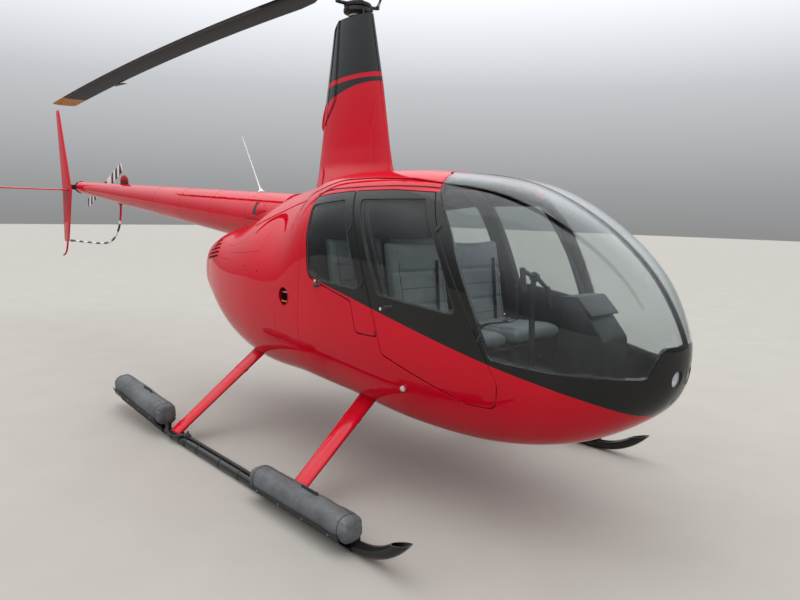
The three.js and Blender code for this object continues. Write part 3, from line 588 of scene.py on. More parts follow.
def side_lines(outline, closed=True):
    """A side view's line laid on the port skin, as one or more lines of u and v."""
    outline = np.asarray(outline, float)[:, :2]
    if closed:
        outline = np.vstack([outline, outline[:1]])
    samples = filled(outline, 2.0)
    marks = [side_place(x, z) for x, z in samples]
    seen = np.array([m[2] for m in marks])
    places = np.array([m[:2] for m in marks])
    if seen.all():
        return [thinned(places, LINE_SPACING)]
    if closed:
        start = int(np.argmin(seen))
        seen, places = np.roll(seen[:-1], -start), np.roll(places[:-1], -start, axis=0)
    lines, line = [], []
    for i in range(len(seen)):
        if seen[i]:
            line = line or ([places[i - 1]] if i else [])
            line.append(places[i])
        elif line:
            lines.append(line + [places[i]])
            line = []
    if line:
        lines.append(line)
    return [thinned(filled(np.array(line), 30.0), LINE_SPACING) for line in lines if len(line) > 2]


def strip_line(y):
    """The line where the upper skin is a given distance from the middle plane."""
    places = []
    for i in range(2, len(ROWS) - 2):
        upper = NET[i, COLUMNS // 2:, 1][::-1]
        if ROWS[i, 0] > 1000 and upper.max() > y:
            places.append((ROW_PLACE[i], np.interp(y, upper, COLUMN_PLACE[COLUMNS // 2:][::-1])))
    return np.array(places)


def inside(outline, points):
    """Which points, as x and z of each, lie within a side view's outline."""
    outline = np.asarray(outline, float)[:, :2]
    x, z = points[:, 0], points[:, 2]
    result = np.zeros(len(points), bool)
    for (ax, az), (bx, bz) in zip(outline, np.roll(outline, -1, axis=0)):
        if az != bz:
            result ^= ((az > z) != (bz > z)) & (x < (bx - ax) * (z - az) / (bz - az) + ax)
    return result


# Outlines in the side view
FRONT_DOOR = [
    (702, 1728, 15), (985, 1733, 400), (1262, 1718, 20), (1362, 1520, 500), (1610, 1060, 500),
    (1742, 800, 60), (1722, 664, 60), (1560, 664, 150), (1025, 838, 30), (985, 980, 100),
    (925, 1155, 300),
]
REAR_DOOR = [
    (318, 1690, 40), (470, 1712, 300), (694, 1728, 15), (917, 1155, 300), (977, 980, 100),
    (990, 930, 20), (815, 930, 40), (775, 1105, 40), (480, 1180, 150), (362, 1215, 60),
    (326, 1450, 300),
]
FRONT_WINDOW = [(770, 1680, 25), (1228, 1684, 25), (1400, 1380, 500), (1519, 1108, 30),
                (992, 1162, 30)]
REAR_WINDOW = [
    (322, 1645, 40), (645, 1678, 25), (846, 1172, 30), (470, 1198, 60), (366, 1245, 60),
    (346, 1450, 300),
]
WINDSHIELD = [
    (1050, 1950, 0), (1090, 1852, 60), (1204, 1822, 60), (1283, 1724, 30), (1430, 1527, 300),
    (1624, 1102, 400), (1700, 915, 40), (2029, 888, 400), (2331, 890, 30), (2374, 1036, 20),
    (2600, 1056, 0), (2600, 1950, 0),
]
ROOF = [
    (1275, 1762, 0), (1050, 1792, 300), (770, 1802, 400), (494, 1794, 150), (376, 1764, 100),
    (200, 1712, 300), (-160, 1650, 300), (-400, 1560, 100), (-640, 1480, 30), (-660, 2100, 0),
    (1275, 2100, 0),
]
PAINT_LINE = [
    (100, 1275), (517, 1181), (777, 1123), (1022, 1064), (1239, 1009), (1434, 959), (1607, 914),
    (1763, 873), (1947, 826), (2030, 802), (2106, 779), (2174, 753), (2234, 725), (2271, 706),
    (2300, 696), (2340, 690), (2420, 688),
]
SEAM_FOOT, SEAM_LEAN = (205, 400), (300 - 205) / (1700 - 400)
DOOR_GAP = 1.7
ROUNDING, GROOVE_GAP = 1.3, 1.3
FRAME_INSET = 14.0
STRIP, STRIP_JOINT = 11.0, 1.5
LAMP_PLACE = (60.0, 884.0)
LAMP_RADII = (35.0, 45.5)
INTAKE = (82.0, 1058.0)
INTAKE_RADII = (56, 62)


def offset(corners, distance):
    return rounded(grown(corners, distance))


def doorway(corners, sill_below, jamb_behind):
    """The opening is wider below and behind than its door, because the hinges lean."""
    return [(x - 3 * (x < jamb_behind), z - 5 * (z < sill_below), radius)
            for x, z, radius in corners]


def seam_x(z):
    """Where the seam between the cabin and the engine cowl lies at a height."""
    return SEAM_FOOT[0] + SEAM_LEAN * (z - SEAM_FOOT[1])


def oval(centre, radii, count=28):
    angles = circle(count)
    return np.array(centre) + np.stack([np.cos(angles) * radii[0], np.sin(angles) * radii[1]],
                                       axis=1)


def groove(points):
    """A thin closed outline along a line, for a seam between two panels."""
    points = np.asarray(points, float)
    ways = unit(np.gradient(points, axis=0))
    across = np.stack([-ways[:, 1], ways[:, 0]], axis=1) * (GROOVE_GAP / 2 + ROUNDING)
    return np.vstack([points + across, (points - across)[::-1]])


SHUT = DOOR_GAP + ROUNDING
SEAM_SHIFT = ROUNDING + 0.9
# Louvre slots: rear end, its height, front end, its height
LOUVRE_ENDS = [(-1330, 1337, -1216, 1364), (-1352, 1303, -1182, 1336), (-1412, 1266, -1166, 1304),
               (-1459, 1230, -1157, 1272), (-1498, 1195, -1152, 1240)]
LOUVRE_HALF = 8.5
LOUVRES = [[(x, z - LOUVRE_HALF, 4), (x_front, z_front - LOUVRE_HALF, 6),
            (x_front, z_front + LOUVRE_HALF, 6), (x, z + LOUVRE_HALF, 4)]
           for x, z, x_front, z_front in LOUVRE_ENDS]
OUTLINES = dict(
    front_opening=offset(doorway(FRONT_DOOR, 900, 0), SHUT),
    rear_opening=offset(doorway(REAR_DOOR, 1250, 400), SHUT),
    front_door=offset(FRONT_DOOR, -SHUT),
    rear_door=offset(REAR_DOOR, -SHUT),
    front_frame=offset(FRONT_DOOR, -FRAME_INSET - 3),
    rear_frame=offset(REAR_DOOR, -FRAME_INSET - 3),
    front_window=offset(FRONT_WINDOW, ROUNDING),
    rear_window=offset(REAR_WINDOW, ROUNDING),
    front_pane=offset(FRONT_WINDOW, -1.5),
    rear_pane=offset(REAR_WINDOW, -1.5),
    windshield=offset(WINDSHIELD, -1.5),
    windshield_opening=offset(WINDSHIELD, ROUNDING + 1.0),
    roof=offset(ROOF, -6.0),
    roof_opening=offset(ROOF, 3.5),
    post=[(640, 1800), (747, 1800), (1012, 1150), (1050, 800), (1050, 700), (950, 700), (950, 800),
          (905, 1150)],
    intake=oval(INTAKE, np.array(INTAKE_RADII) + ROUNDING),
    **{f"louvre_{i}": offset(corners, ROUNDING) for i, corners in enumerate(LOUVRES)},
    seam_cowl=groove([(-290, 1530), (-292, 1402), (-300, 1350), (-330, 1326), (-560, 1300),
                      (-860, 1284)]),
    seam_hull=groove([(-40, 1000), (-40, 800), (-45, 560)]),
)

SEED_SPACING = 38.0
SEED_CLEARANCE = 11.0


def skin_triangles():
    """The port skin cut along every outline: net places and triangles."""
    lines = [line for outline in OUTLINES.values() for line in side_lines(outline)]
    for shift in (SEAM_SHIFT, -SEAM_SHIFT):
        lines += side_lines([(seam_x(z) + shift, z) for z in (300, 2000)], closed=False)
    lines += side_lines(PAINT_LINE, closed=False)
    lines += [thinned(filled(strip_line(y), 12.0), LINE_SPACING)
              for y in (STRIP, STRIP + STRIP_JOINT)]
    lamp = [nose_place(y, z) for y, z in oval(LAMP_PLACE, LAMP_RADII, 24)]
    lines.append(np.array(lamp + lamp[:1]))
    lines += [filled(np.array([(0, v), (ROW_PLACE[-1], v)], float), 24.0) for v in (0, HALF_GIRTH)]
    places, edges = [], []
    for line in lines:
        first = len(places)
        places += list(line)
        edges += [(first + i, first + i + 1) for i in range(len(line) - 1)]
    near = kdtree.KDTree(len(places))
    for i, point in enumerate(on_net(NET, np.array(places))):
        near.insert(point, i)
    near.balance()
    for u in np.arange(SEED_SPACING / 3, ROW_PLACE[-1], SEED_SPACING * 0.9):
        half = on_net(NET, np.stack([np.full(COLUMNS, u), COLUMN_PLACE], axis=1))
        length = np.linalg.norm(np.diff(half, axis=0), axis=1).sum()
        count = max(3, round(length / SEED_SPACING))
        stagger = 0.5 * (round(u / SEED_SPACING / 0.9) % 2)
        seeds = [(u, (j + 0.25 + stagger) / count * HALF_GIRTH) for j in range(count)]
        for seed, point in zip(seeds, on_net(NET, seeds)):
            if near.find(point)[2] > SEED_CLEARANCE:
                places.append(seed)
    made = delaunay_2d_cdt([Vector(p) for p in places], edges, [], 0, 1e-4)
    return np.array([v[:] for v in made[0]]), np.array([f[:] for f in made[2] if len(f) == 3])


SKIN_PLACES, SKIN_FACES = skin_triangles()
SKIN_POINTS = on_net(NET, SKIN_PLACES)
SKIN_NORMALS = unit(on_net(NET_NORMALS, SKIN_PLACES))
SKIN_MIDDLES = SKIN_POINTS[SKIN_FACES].mean(axis=1)
SEAM_SIDE = SKIN_MIDDLES[:, 0] - seam_x(SKIN_MIDDLES[:, 2])
WITHIN = {name: inside(outline, SKIN_MIDDLES) for name, outline in OUTLINES.items()}
SEAMS = WITHIN["seam_cowl"] | WITHIN["seam_hull"]
BELOW_PAINT = SKIN_MIDDLES[:, 2] < np.interp(SKIN_MIDDLES[:, 0], *np.array(PAINT_LINE, float).T)
LAMP_REACH = (SKIN_MIDDLES[:, 1:] - LAMP_PLACE) / LAMP_RADII
LAMP_HOLE = (SKIN_MIDDLES[:, 0] > 2200) & (np.hypot(*LAMP_REACH.T) < 1)


WELD_DISTANCE = 0.02


def panel(keep, start, depth, rounding=ROUNDING, outer="red_paint", inner="cabin_lining",
          whole=False):
    """A sheet of the skin between two depths, with rounded outer edges; outer names each triangle's
    finish. A whole panel spans both sides and is joined along the middle."""
    points, normals, faces = SKIN_POINTS, SKIN_NORMALS, SKIN_FACES[keep]
    names = np.broadcast_to(outer, len(SKIN_FACES))[keep].tolist()
    if whole:
        faces = np.vstack([faces, faces[:, ::-1] + len(points)])
        names = names * 2
        points = np.vstack([points, points * (1, -1, 1)])
        normals = np.vstack([normals, normals * (1, -1, 1)])
    keys = np.round(points / WELD_DISTANCE).astype(int)
    _, first, same = np.unique(keys, axis=0, return_index=True, return_inverse=True)
    faces = same.reshape(-1)[faces].tolist()
    points, normals = points[first], normals[first]
    faces, names = zip(*[(face, name) for face, name in zip(faces, names) if len(set(face)) == 3])
    owner = {}
    for index, face in enumerate(faces):
        for a, b in zip(face, face[1:] + face[:1]):
            owner[a, b] = index
    rim = [edge for edge in owner if edge[::-1] not in owner]
    before, after = {b: a for a, b in rim}, {a: b for a, b in rim}
    edge_points = sorted(after)
    rank = {p: i for i, p in enumerate(edge_points)}
    here = points[edge_points]
    back = here - points[[before[p] for p in edge_points]]
    ahead = points[[after[p] for p in edge_points]] - here
    way = unit(back) + unit(ahead)
    half_turn = np.clip(np.linalg.norm(way, axis=1) / 2, 0.6, 1)
    up = normals[edge_points]
    out = unit(np.cross(unit(way), up)) / half_turn[:, None]
    sine = math.sin(math.pi / 4)
    rings = [(rounding * sine, rounding * (1 - sine), sine, sine), (rounding, rounding, 1.0, 0.0),
             (rounding, depth - start, 0.0, 0.0)]
    everything, every_normal = [points - normals * start], [normals]
    for reach, drop, out_share, up_share in rings:
        everything.append(here - up * (start + drop) + out * reach)
        every_normal.append(out * out_share + up * up_share)
    everything = np.vstack([*everything, points - normals * depth])
    every_normal = np.vstack([*every_normal, -normals])
    count, rim_count = len(points), len(edge_points)
    inner_start = count + 3 * rim_count
    all_faces, finishes = list(faces), list(names)
    for a, b in rim:
        rows = [count + k * rim_count for k in range(3)]
        levels = [(a, b)] + [(row + rank[a], row + rank[b]) for row in rows]
        for (a0, b0), (a1, b1) in zip(levels, levels[1:]):
            all_faces.append((b0, a0, a1, b1))
            finishes.append(names[owner[a, b]])

    def inner_index(p):
        return count + 2 * rim_count + rank[p] if p in rank else inner_start + p

    all_faces += [tuple(inner_index(p) for p in face[::-1]) for face in faces]
    finishes += [inner] * len(faces)
    used = np.unique([i for face in all_faces for i in face])
    fresh = np.full(len(everything), -1)
    fresh[used] = np.arange(len(used))
    return Shape(everything[used], [[fresh[i] for i in face] for face in all_faces], finishes,
                 every_normal[used])


def pane(keep, start, depth, glass):
    return panel(keep, start, depth, 1.0, glass, glass)


def bead(name, depth, radius):
    """A round rubber seal along an outline, sunk in the skin."""
    shapes = []
    for line in side_lines(OUTLINES[name]):
        points = on_net(NET, line) - on_net(NET_NORMALS, line) * depth
        closed = np.linalg.norm(points[0] - points[-1]) < 1
        shapes.append(tube(points, radius, "rubber", 8, joined_ends=closed))
    return total(shapes)


# Finishes of this machine

def toned(color, share):
    """The colour made darker, or lighter where the share is over 1."""
    return tuple(c * share for c in color[:3]) + (1,)


def paint(name, color, dust, gloss, coat=1.0):
    """Sprayed paint: a faint orange peel, slow waves of the sheet below, thin dust low down."""
    finish = Finish(name)
    broad = finish.noise(1.7, 4.0, 0.6)
    low = 1 - finish.between(finish.axis("Z"), 0.3, 0.8)
    streaks = finish.noise(3.0, 4.0, 0.5, finish.stretched(1.0, 3.0, 0.35))
    dirt = finish.between(streaks, 0.35, 0.9) * (low * 0.22 + 0.03)
    shade = finish.mix(finish.between(broad, 0.3, 0.7), toned(color, 0.92), color)
    skin = finish.mix(dirt, shade, dust)
    waves = finish.bump(finish.noise(2.6, 1.0, 0.3), 0.003, 0.3)
    normal = finish.bump(finish.noise(420.0, 2.0, 0.5), 0.00015, 0.2, waves)
    rough = dirt * 0.5 + finish.between(broad, 0.2, 0.8) * 0.05 + gloss
    return finish.close(finish.surface(skin, rough, normal, Coat_Weight=coat, Coat_Roughness=0.04,
                                       Coat_IOR=1.38, Specular_IOR_Level=0.0))


def metal(name, color, rough=0.35, metallic=1.0):
    """Machined or polished metal, with fine brush lines and duller smears."""
    finish = Finish(name)
    brush = finish.noise(6.0, 4.0, 0.6, finish.stretched(40.0, 40.0, 400.0))
    smear = finish.noise(14.0, 4.0, 0.6)
    shade = finish.mix(finish.between(smear, 0.35, 0.75), color, toned(color, 0.62))
    normal = finish.bump(brush, 0.0004, 0.4)
    return finish.close(finish.surface(shade, smear * 0.25 + brush * 0.12 + (rough - 0.15), normal,
                                       Metallic=metallic))


def moulded(name, color, worn, rough=0.5, pebble=700.0, depth=0.0006):
    """Moulded plastic or satin black fittings with a fine pebble and paler rubbed places."""
    finish = Finish(name)
    grain = finish.node("TexVoronoi", None, dict(Vector=finish.place, Scale=pebble))
    blotch = finish.noise(9.0, 4.0, 0.6)
    shade = finish.mix(finish.between(blotch, 0.42, 0.72), color, worn)
    normal = finish.bump(grain, depth, 0.5)
    return finish.close(finish.surface(shade, blotch * 0.2 + (rough - 0.1), normal))


def window_glass(name, tint, clear):
    """Smoked acrylic: clear sight through it, a bright mirror at a flat angle, fine smears."""
    finish = Finish(name)
    smears = finish.noise(5.0, 4.0, 0.6, finish.stretched(1.0, 1.0, 2.2))
    film = finish.between(smears, 0.45, 0.8)
    shade = finish.mix(film, tint, toned(tint, 0.9))
    skin = finish.surface(shade, film * 0.02 + 0.008, None, Metallic=1.0)
    return finish.through_glass(clear, finish.slant() * 0.95 + film * 0.012 + 0.024, skin)


def leather(name, color):
    """Grained seat leather, paler where it is sat on."""
    finish = Finish(name)
    cells = finish.node("TexVoronoi", dict(feature="DISTANCE_TO_EDGE"),
                        dict(Vector=finish.place, Scale=260.0))
    creases = finish.noise(38.0, 5.0, 0.65)
    wear = finish.noise(5.0, 3.0, 0.6)
    shade = finish.mix(finish.between(wear, 0.35, 0.7), color, toned(color, 1.25))
    pores = finish.between(cells, 0.0, 0.12)
    normal = finish.bump(pores, 0.0006, 0.5, finish.bump(creases, 0.0025, 0.35))
    return finish.close(finish.surface(shade, wear * 0.2 + 0.42, normal))


def canvas(name, color, weave=900.0):
    """Coated fabric with a fine weave, soft folds in its colour, their hollows darkened as painted
    shade, and scuffed places.
    """
    finish = Finish(name)
    across, down = (finish.node("TexWave", dict(bands_direction=way),
                                dict(Vector=finish.place, Scale=weave / 20)) for way in "XZ")
    fold_relief_and_shade = finish.noise(7.0, 4.0, 0.6)
    scuffs = finish.noise(26.0, 5.0, 0.7)
    # Painted shade: the colour darkens where the fold bump is low, in the hollows of the folds.
    shade = finish.mix(finish.between(fold_relief_and_shade, 0.32, 0.68), toned(color, 0.62), color)
    rubbed = finish.mix(finish.between(scuffs, 0.52, 0.72) * 0.55, shade, toned(color, 1.5))
    worn = finish.mix(finish.between(1 - scuffs, 0.56, 0.74) * 0.7, rubbed, toned(color, 0.4))
    normal = finish.bump(across + down, 0.0004, 0.6, finish.bump(fold_relief_and_shade, 0.006, 0.3))
    return finish.close(finish.surface(worn, scuffs * 0.2 + 0.6, normal))


def lens(name, color, clear):
    """Pressed lamp glass with fine vertical ribs."""
    finish = Finish(name)
    ribs = finish.node("TexWave", dict(bands_direction="Y"), dict(Vector=finish.place, Scale=60.0))
    grain = finish.noise(120.0, 3.0, 0.6)
    shade = finish.mix(finish.between(grain, 0.3, 0.7), color, toned(color, 0.8))
    normal = finish.bump(ribs, 0.0008, 0.5)
    skin = finish.surface(shade, grain * 0.1 + 0.02, normal)
    return finish.through_glass(clear, finish.slant() * 0.6 + grain * 0.1 + 0.3, skin)


DUST = (0.30, 0.26, 0.22, 1)
# Blender numbers a finish named like one of the CAD's slots; its key here has no number
FINISHES = {made.name.split(".")[0]: made for made in (
    paint("red_paint", (0.50, 0.0012, 0.0135, 1), (0.30, 0.07, 0.06, 1), 0.16, 0.75),
    paint("black_paint", (0.0062, 0.0066, 0.0066, 1), (0.075, 0.07, 0.065, 1), 0.2),
    paint("white_paint", (0.72, 0.72, 0.70, 1), DUST, 0.3, 0.5),
    paint("tan_paint", (0.42, 0.20, 0.07, 1), DUST, 0.35, 0.2),
    paint("blade_paint", (0.012, 0.012, 0.013, 1), (0.09, 0.085, 0.08, 1), 0.42, 0.3),
    metal("steel", (0.42, 0.43, 0.44, 1)),
    metal("bright_steel", (0.78, 0.78, 0.77, 1), 0.28),
    metal("dark_steel", (0.045, 0.045, 0.047, 1), 0.5, 0.6),
    metal("exhaust_steel", (0.16, 0.13, 0.11, 1), 0.6, 0.9),
    moulded("dark_trim", (0.012, 0.012, 0.013, 1), (0.03, 0.03, 0.031, 1)),
    moulded("rubber", (0.006, 0.006, 0.006, 1), (0.018, 0.018, 0.018, 1), 0.62, 300.0),
    moulded("cabin_lining", (0.03, 0.031, 0.033, 1), (0.045, 0.046, 0.048, 1), 0.62, 500.0, 0.0002),
    moulded("panel_black", (0.01, 0.01, 0.011, 1), (0.02, 0.02, 0.021, 1), 0.4, 900.0, 0.0003),
    leather("seat_leather", (0.17, 0.18, 0.195, 1)),
    canvas("grey_canvas", (0.094, 0.101, 0.107, 1)),
    canvas("dark_canvas", (0.012, 0.0125, 0.0135, 1)),
    canvas("carpet", (0.02, 0.02, 0.021, 1), 400.0),
    window_glass("tinted_glass", (0.82, 0.84, 0.84, 1), (0.79, 0.82, 0.81, 1)),
    window_glass("windshield_glass", (0.88, 0.90, 0.92, 1), (0.85, 0.875, 0.875, 1)),
    lens("lamp_lens", (0.75, 0.78, 0.80, 1), (0.92, 0.94, 0.95, 1)),
    lens("beacon_red", (0.5, 0.02, 0.02, 1), (0.8, 0.08, 0.06, 1)),
)}


# Cabin, cowls, doors and windows

RAIL_HEIGHT, REAR_DOOR_POST = 1722, 560
in_windshield, in_roof = WITHIN["windshield_opening"], WITHIN["roof_opening"]
in_doorway = WITHIN["front_opening"] | WITHIN["rear_opening"]
in_louvre = np.any([WITHIN[f"louvre_{i}"] for i in range(len(LOUVRES))], axis=0)
in_strip, past_strip = SKIN_MIDDLES[:, 1] < STRIP, SKIN_MIDDLES[:, 1] > STRIP + STRIP_JOINT
shell_black = (~BELOW_PAINT & (SKIN_MIDDLES[:, 2] < RAIL_HEIGHT)
               & (SKIN_MIDDLES[:, 0] > REAR_DOOR_POST))
shell_finish = np.where(shell_black, "black_paint", "red_paint")
door_finish = np.where(BELOW_PAINT, "red_paint", "black_paint")

in_shell = (SEAM_SIDE > SEAM_SHIFT) & ~in_roof & ~in_windshield & ~in_doorway & ~LAMP_HOLE
in_cowl = (SEAM_SIDE < -SEAM_SHIFT) & ~in_roof & ~in_louvre & ~WITHIN["intake"] & ~SEAMS
shell = panel(in_shell, 0, 30, outer=shell_finish, inner="dark_trim", whole=True)
centre_strip = panel(in_windshield & in_strip, -1.5, 14, outer="black_paint", whole=True)
posts = panel(WITHIN["post"], 38, 64, 6.0, outer="dark_trim").both_sides()
piece("cabin_shell", [shell, centre_strip, posts])
piece("roof_cowl", panel(WITHIN["roof"] & ~in_windshield & ~SEAMS, -3, 28, 5.0, whole=True))
piece("engine_cowl", panel(in_cowl, 0, 30, inner="dark_trim", whole=True))
pair("windshield_{}", pane(WITHIN["windshield"] & past_strip, 0, 6, "windshield_glass"))
for row in ("front", "rear"):
    window, door = WITHIN[f"{row}_window"], row + "_{}_door"
    skin = panel(WITHIN[f"{row}_door"] & ~window, 0, 12, outer=door_finish)
    inner_frame = panel(WITHIN[f"{row}_frame"] & ~window, 10, 30, 3.0, outer="dark_trim")
    seal = bead(f"{row}_window", 3.0, 4.0)
    pair(f"door_{row}_{{}}", [skin, inner_frame, seal], door)
    pair(f"glass_{row}_{{}}", pane(WITHIN[f"{row}_pane"], 4, 10, "tinted_glass"),
         door)


# Mast fairing: z, front x, rear x, half width
FAIRING = np.array([
    (1740, 520, -404, 205), (1850, 400, -392, 150), (1920, 366, -401, 112), (2050, 340, -383, 96),
    (2460, 266, -315, 78), (2885, 168, -240, 56), (2932, 157, -228, 53),
], float)
FAIRING_TOP = 2929.0
# Paint lines of the fairing, from the foot up: front end and rear end as x and z, curve, lift
STRIPE = ((252, 2508), (-320, 2466), 2.8)
FAIRING_LINES = [((262, 2477), (-336, 2334), 2.0, 0), (*STRIPE, 0), (*STRIPE, 31)]
FAIRING_BANDS = [("red_paint", 26), ("black_paint", 3), ("red_paint", 2), ("black_paint", 14)]
STEP_X, STEP_FOOT, STEP_SWEEP, STEP_HEIGHT = -134.0, 2220.0, 168.0, 11.0
NOMINAL_EDGE = math.radians(120)
SLOT_ANGLE, SLOT_DEPTH = 31, 3.5


def fairing_section(z):
    return [np.interp(z, FAIRING[:, 0], FAIRING[:, k]) for k in (1, 2, 3)]


def step_edge(z):
    """The angle of the edge behind which the fairing stands proud: upright, then swept back."""
    front, rear, _ = fairing_section(z)
    x = STEP_X - STEP_SWEEP * (max(2400 - z, 0) / (2400 - STEP_FOOT)) ** 1.2
    return math.acos(max((2 * x - front - rear) / (front - rear), -0.94))


def fairing_point(nominal, z, stepped=True):
    """A point on the fairing; its columns lean so that one of them follows the step's edge."""
    front, rear, half = fairing_section(z)
    edge, size = step_edge(z), abs(nominal)
    angle = size * edge / NOMINAL_EDGE
    if size > NOMINAL_EDGE:
        angle = edge + (size - NOMINAL_EDGE) * (math.pi - edge) / (math.pi - NOMINAL_EDGE)
    angle = math.copysign(angle, nominal)
    cosine, sine = math.cos(angle), math.sin(angle)
    x = (front + rear) / 2 + (front - rear) / 2 * cosine
    y = half * math.copysign(abs(sine) ** 0.9, sine)
    step = STEP_HEIGHT * np.clip((size - NOMINAL_EDGE) / 0.03, 0, 1)
    step *= np.clip((z - STEP_FOOT + 20) / 40, 0, 1)
    slot = SLOT_DEPTH * max(1 - abs(size - math.radians(SLOT_ANGLE)) / 0.022, 0) * (z > 1900)
    return np.array((x, y, z)) + np.array((cosine * 0.1, sine, 0.0)) * (step - slot) * stepped


def curve_height(x, front, rear, power):
    """A paint line that is level at the leading edge and falls away to the rear."""
    share = min(max((front[0] - x) / (front[0] - rear[0]), 0), 1)
    return front[1] + (rear[1] - front[1]) * share ** power


def mast_fairing():
    marks = [*(SLOT_ANGLE + d for d in (-1.3, -0.65, 0, 0.65, 1.3)), 119.4, 120, 120.6, 121.3, 122,
             123.5]
    degrees = [side * a for side in (-1, 1) for a in marks]
    degrees += [a for a in range(-180, 180, 6) if abs(abs(a) - SLOT_ANGLE) > 2]
    columns = []
    for angle in sorted(math.radians(a) for a in degrees):
        base = 1850.0
        for _ in range(8):
            x, y, _ = fairing_point(angle, base)
            base = top_height(x, y) - 6.0
        cuts = [base]
        for *line, lift in FAIRING_LINES:
            z = 2400.0
            for _ in range(6):
                z = curve_height(fairing_point(angle, z, False)[0], *line) + lift
            cuts.append(z)
        rear_share = max(-math.cos(angle), 0) ** 2
        cuts.append(FAIRING_TOP - 92 * max((rear_share - 0.25) / 0.75, 0))
        rows = [fairing_point(angle, low + (high - low) * step / steps) for low, high, (_, steps)
                in zip(cuts, cuts[1:], FAIRING_BANDS) for step in range(steps)]
        columns.append([*rows, fairing_point(angle, cuts[-1])])
    rings = np.array(columns).transpose(1, 0, 2)
    count = len(columns)
    top = rings[-1]
    rim = [top + (top.mean(axis=0) - top) * share + (0, 0, lift)
           for share, lift in ((0.012, 1.0), (0.16, 1.5), (0.5, 2))]
    body = loft(np.concatenate([rings, rim]), "black_paint")
    body.finishes = ([finish for finish, rows in FAIRING_BANDS for _ in range(rows * count)]
                     + ["black_paint"] * (3 * count + 2))
    collar = lathe([(-20, 52), (12, 50), (16, 44), (16, 36)], (0, 0, 2922), UP, "dark_steel")
    base_line = [column[0] + (0, 0, 4) for column in [*columns, columns[0]]]
    shapes = [body, collar, tube(base_line, 5.0, "rubber", 8, joined_ends=True)]
    for side in (-1, 1):
        spine = curved([fairing_point(side * math.radians(156 - 6 * s), 2185 + 195 * s)
                        for s in (0, 0.25, 0.5, 0.75, 1)], 20)
        radii = np.interp(np.arange(len(spine)), (0, 2, 6, len(spine) - 1), (8, 20, 17, 4))
        shapes.append(tube(spine, radii, "red_paint", 14, flat=0.6, soft=6))
        # Painted shadow: a matte dark line along the step's edge, standing in for the shadow in the
        # gap there.
        edge = [fairing_point(side * math.radians(119.2), z) for z in np.linspace(2240, 2868, 14)]
        shapes.append(tube(edge, 3.6, "rubber", 10, soft=4))
    piece("mast_fairing", shapes, smooth=28)


mast_fairing()


# Rotor
HUB_HEIGHT = 3200.0
BLADE_AZIMUTH = 5.9
BLADE_CHORD = 262.0
BOLT_X, CHEEK_Y = 270.0, 58.0


def airfoil(chord, thickness, count=36):
    """Points round a blade section, nose first, along its chord and across it."""
    points = []
    for i, angle in enumerate(circle(count)):
        along = (1 - math.cos(angle)) / 2
        half = 1.3 * thickness * (math.sqrt(along) - along) + thickness * 0.03
        points.append((chord * (0.3 - along), half if i <= count / 2 else -half))
    return points


def blade_height(r):
    """The blades hang down towards their tips."""
    return HUB_HEIGHT - 0.02 * r - 0.0115 * r * r * 1e-3


def bolt(place, way, radius, height, sides=12):
    """A bolt's head with its top edge taken off."""
    return lathe([(0, radius), (height - 2, radius), (height, radius - 2), (height, 0.5)], place,
                 way, "steel", sides)


def main_blade():
    stations = [(372, 96, 66), (400, 100, 62), (430, 112, 58), (520, 165, 48), (620, 230, 40),
                (800, 262, 32), (1600, 262, 30), (2500, 262, 30), (3400, 262, 28), (4300, 262, 28),
                (4700, 262, 27), (4702, 262, 27), (4960, 262, 26), (5000, 250, 22), (5022, 225, 18),
                (5029, 196, 14)]
    reach, chords, thicknesses = np.array(stations, float).T
    stops = sorted({*reach, *np.arange(1000.0, 4300.0, 300.0)})
    rings = [[(r, y, blade_height(r) + z)
              for y, z in airfoil(np.interp(r, reach, chords), np.interp(r, reach, thicknesses))]
             for r in stops]
    count = len(rings[0])
    body = loft(rings, "blade_paint")
    body.finishes = [
        "tan_paint" if r >= 4700 else "dark_steel" if min(j, count - 1 - j) < 4 and r > 800
        else "blade_paint"
        for r in stops[:-1] for j in range(count)] + ["blade_paint", "tan_paint"]
    tab_z = blade_height(3900)
    return total([
        body,
        block((BOLT_X - 42, 400), (-CHEEK_Y + 20.3, CHEEK_Y - 20.3),
              (HUB_HEIGHT - 30, HUB_HEIGHT + 22), "dark_steel", 6),
        block((396, 470), (-44, 44), (HUB_HEIGHT - 36, HUB_HEIGHT + 16), "dark_steel", 5),
        block((3770, 4030), (-0.7 * BLADE_CHORD - 44, -0.7 * BLADE_CHORD + 8),
              (tab_z - 1.5, tab_z + 1.5), "dark_steel", 0.8),
        *[bolt((x, y, HUB_HEIGHT + 16), UP, 9, 9) for x in (415, 450) for y in (-22, 22)],
    ])


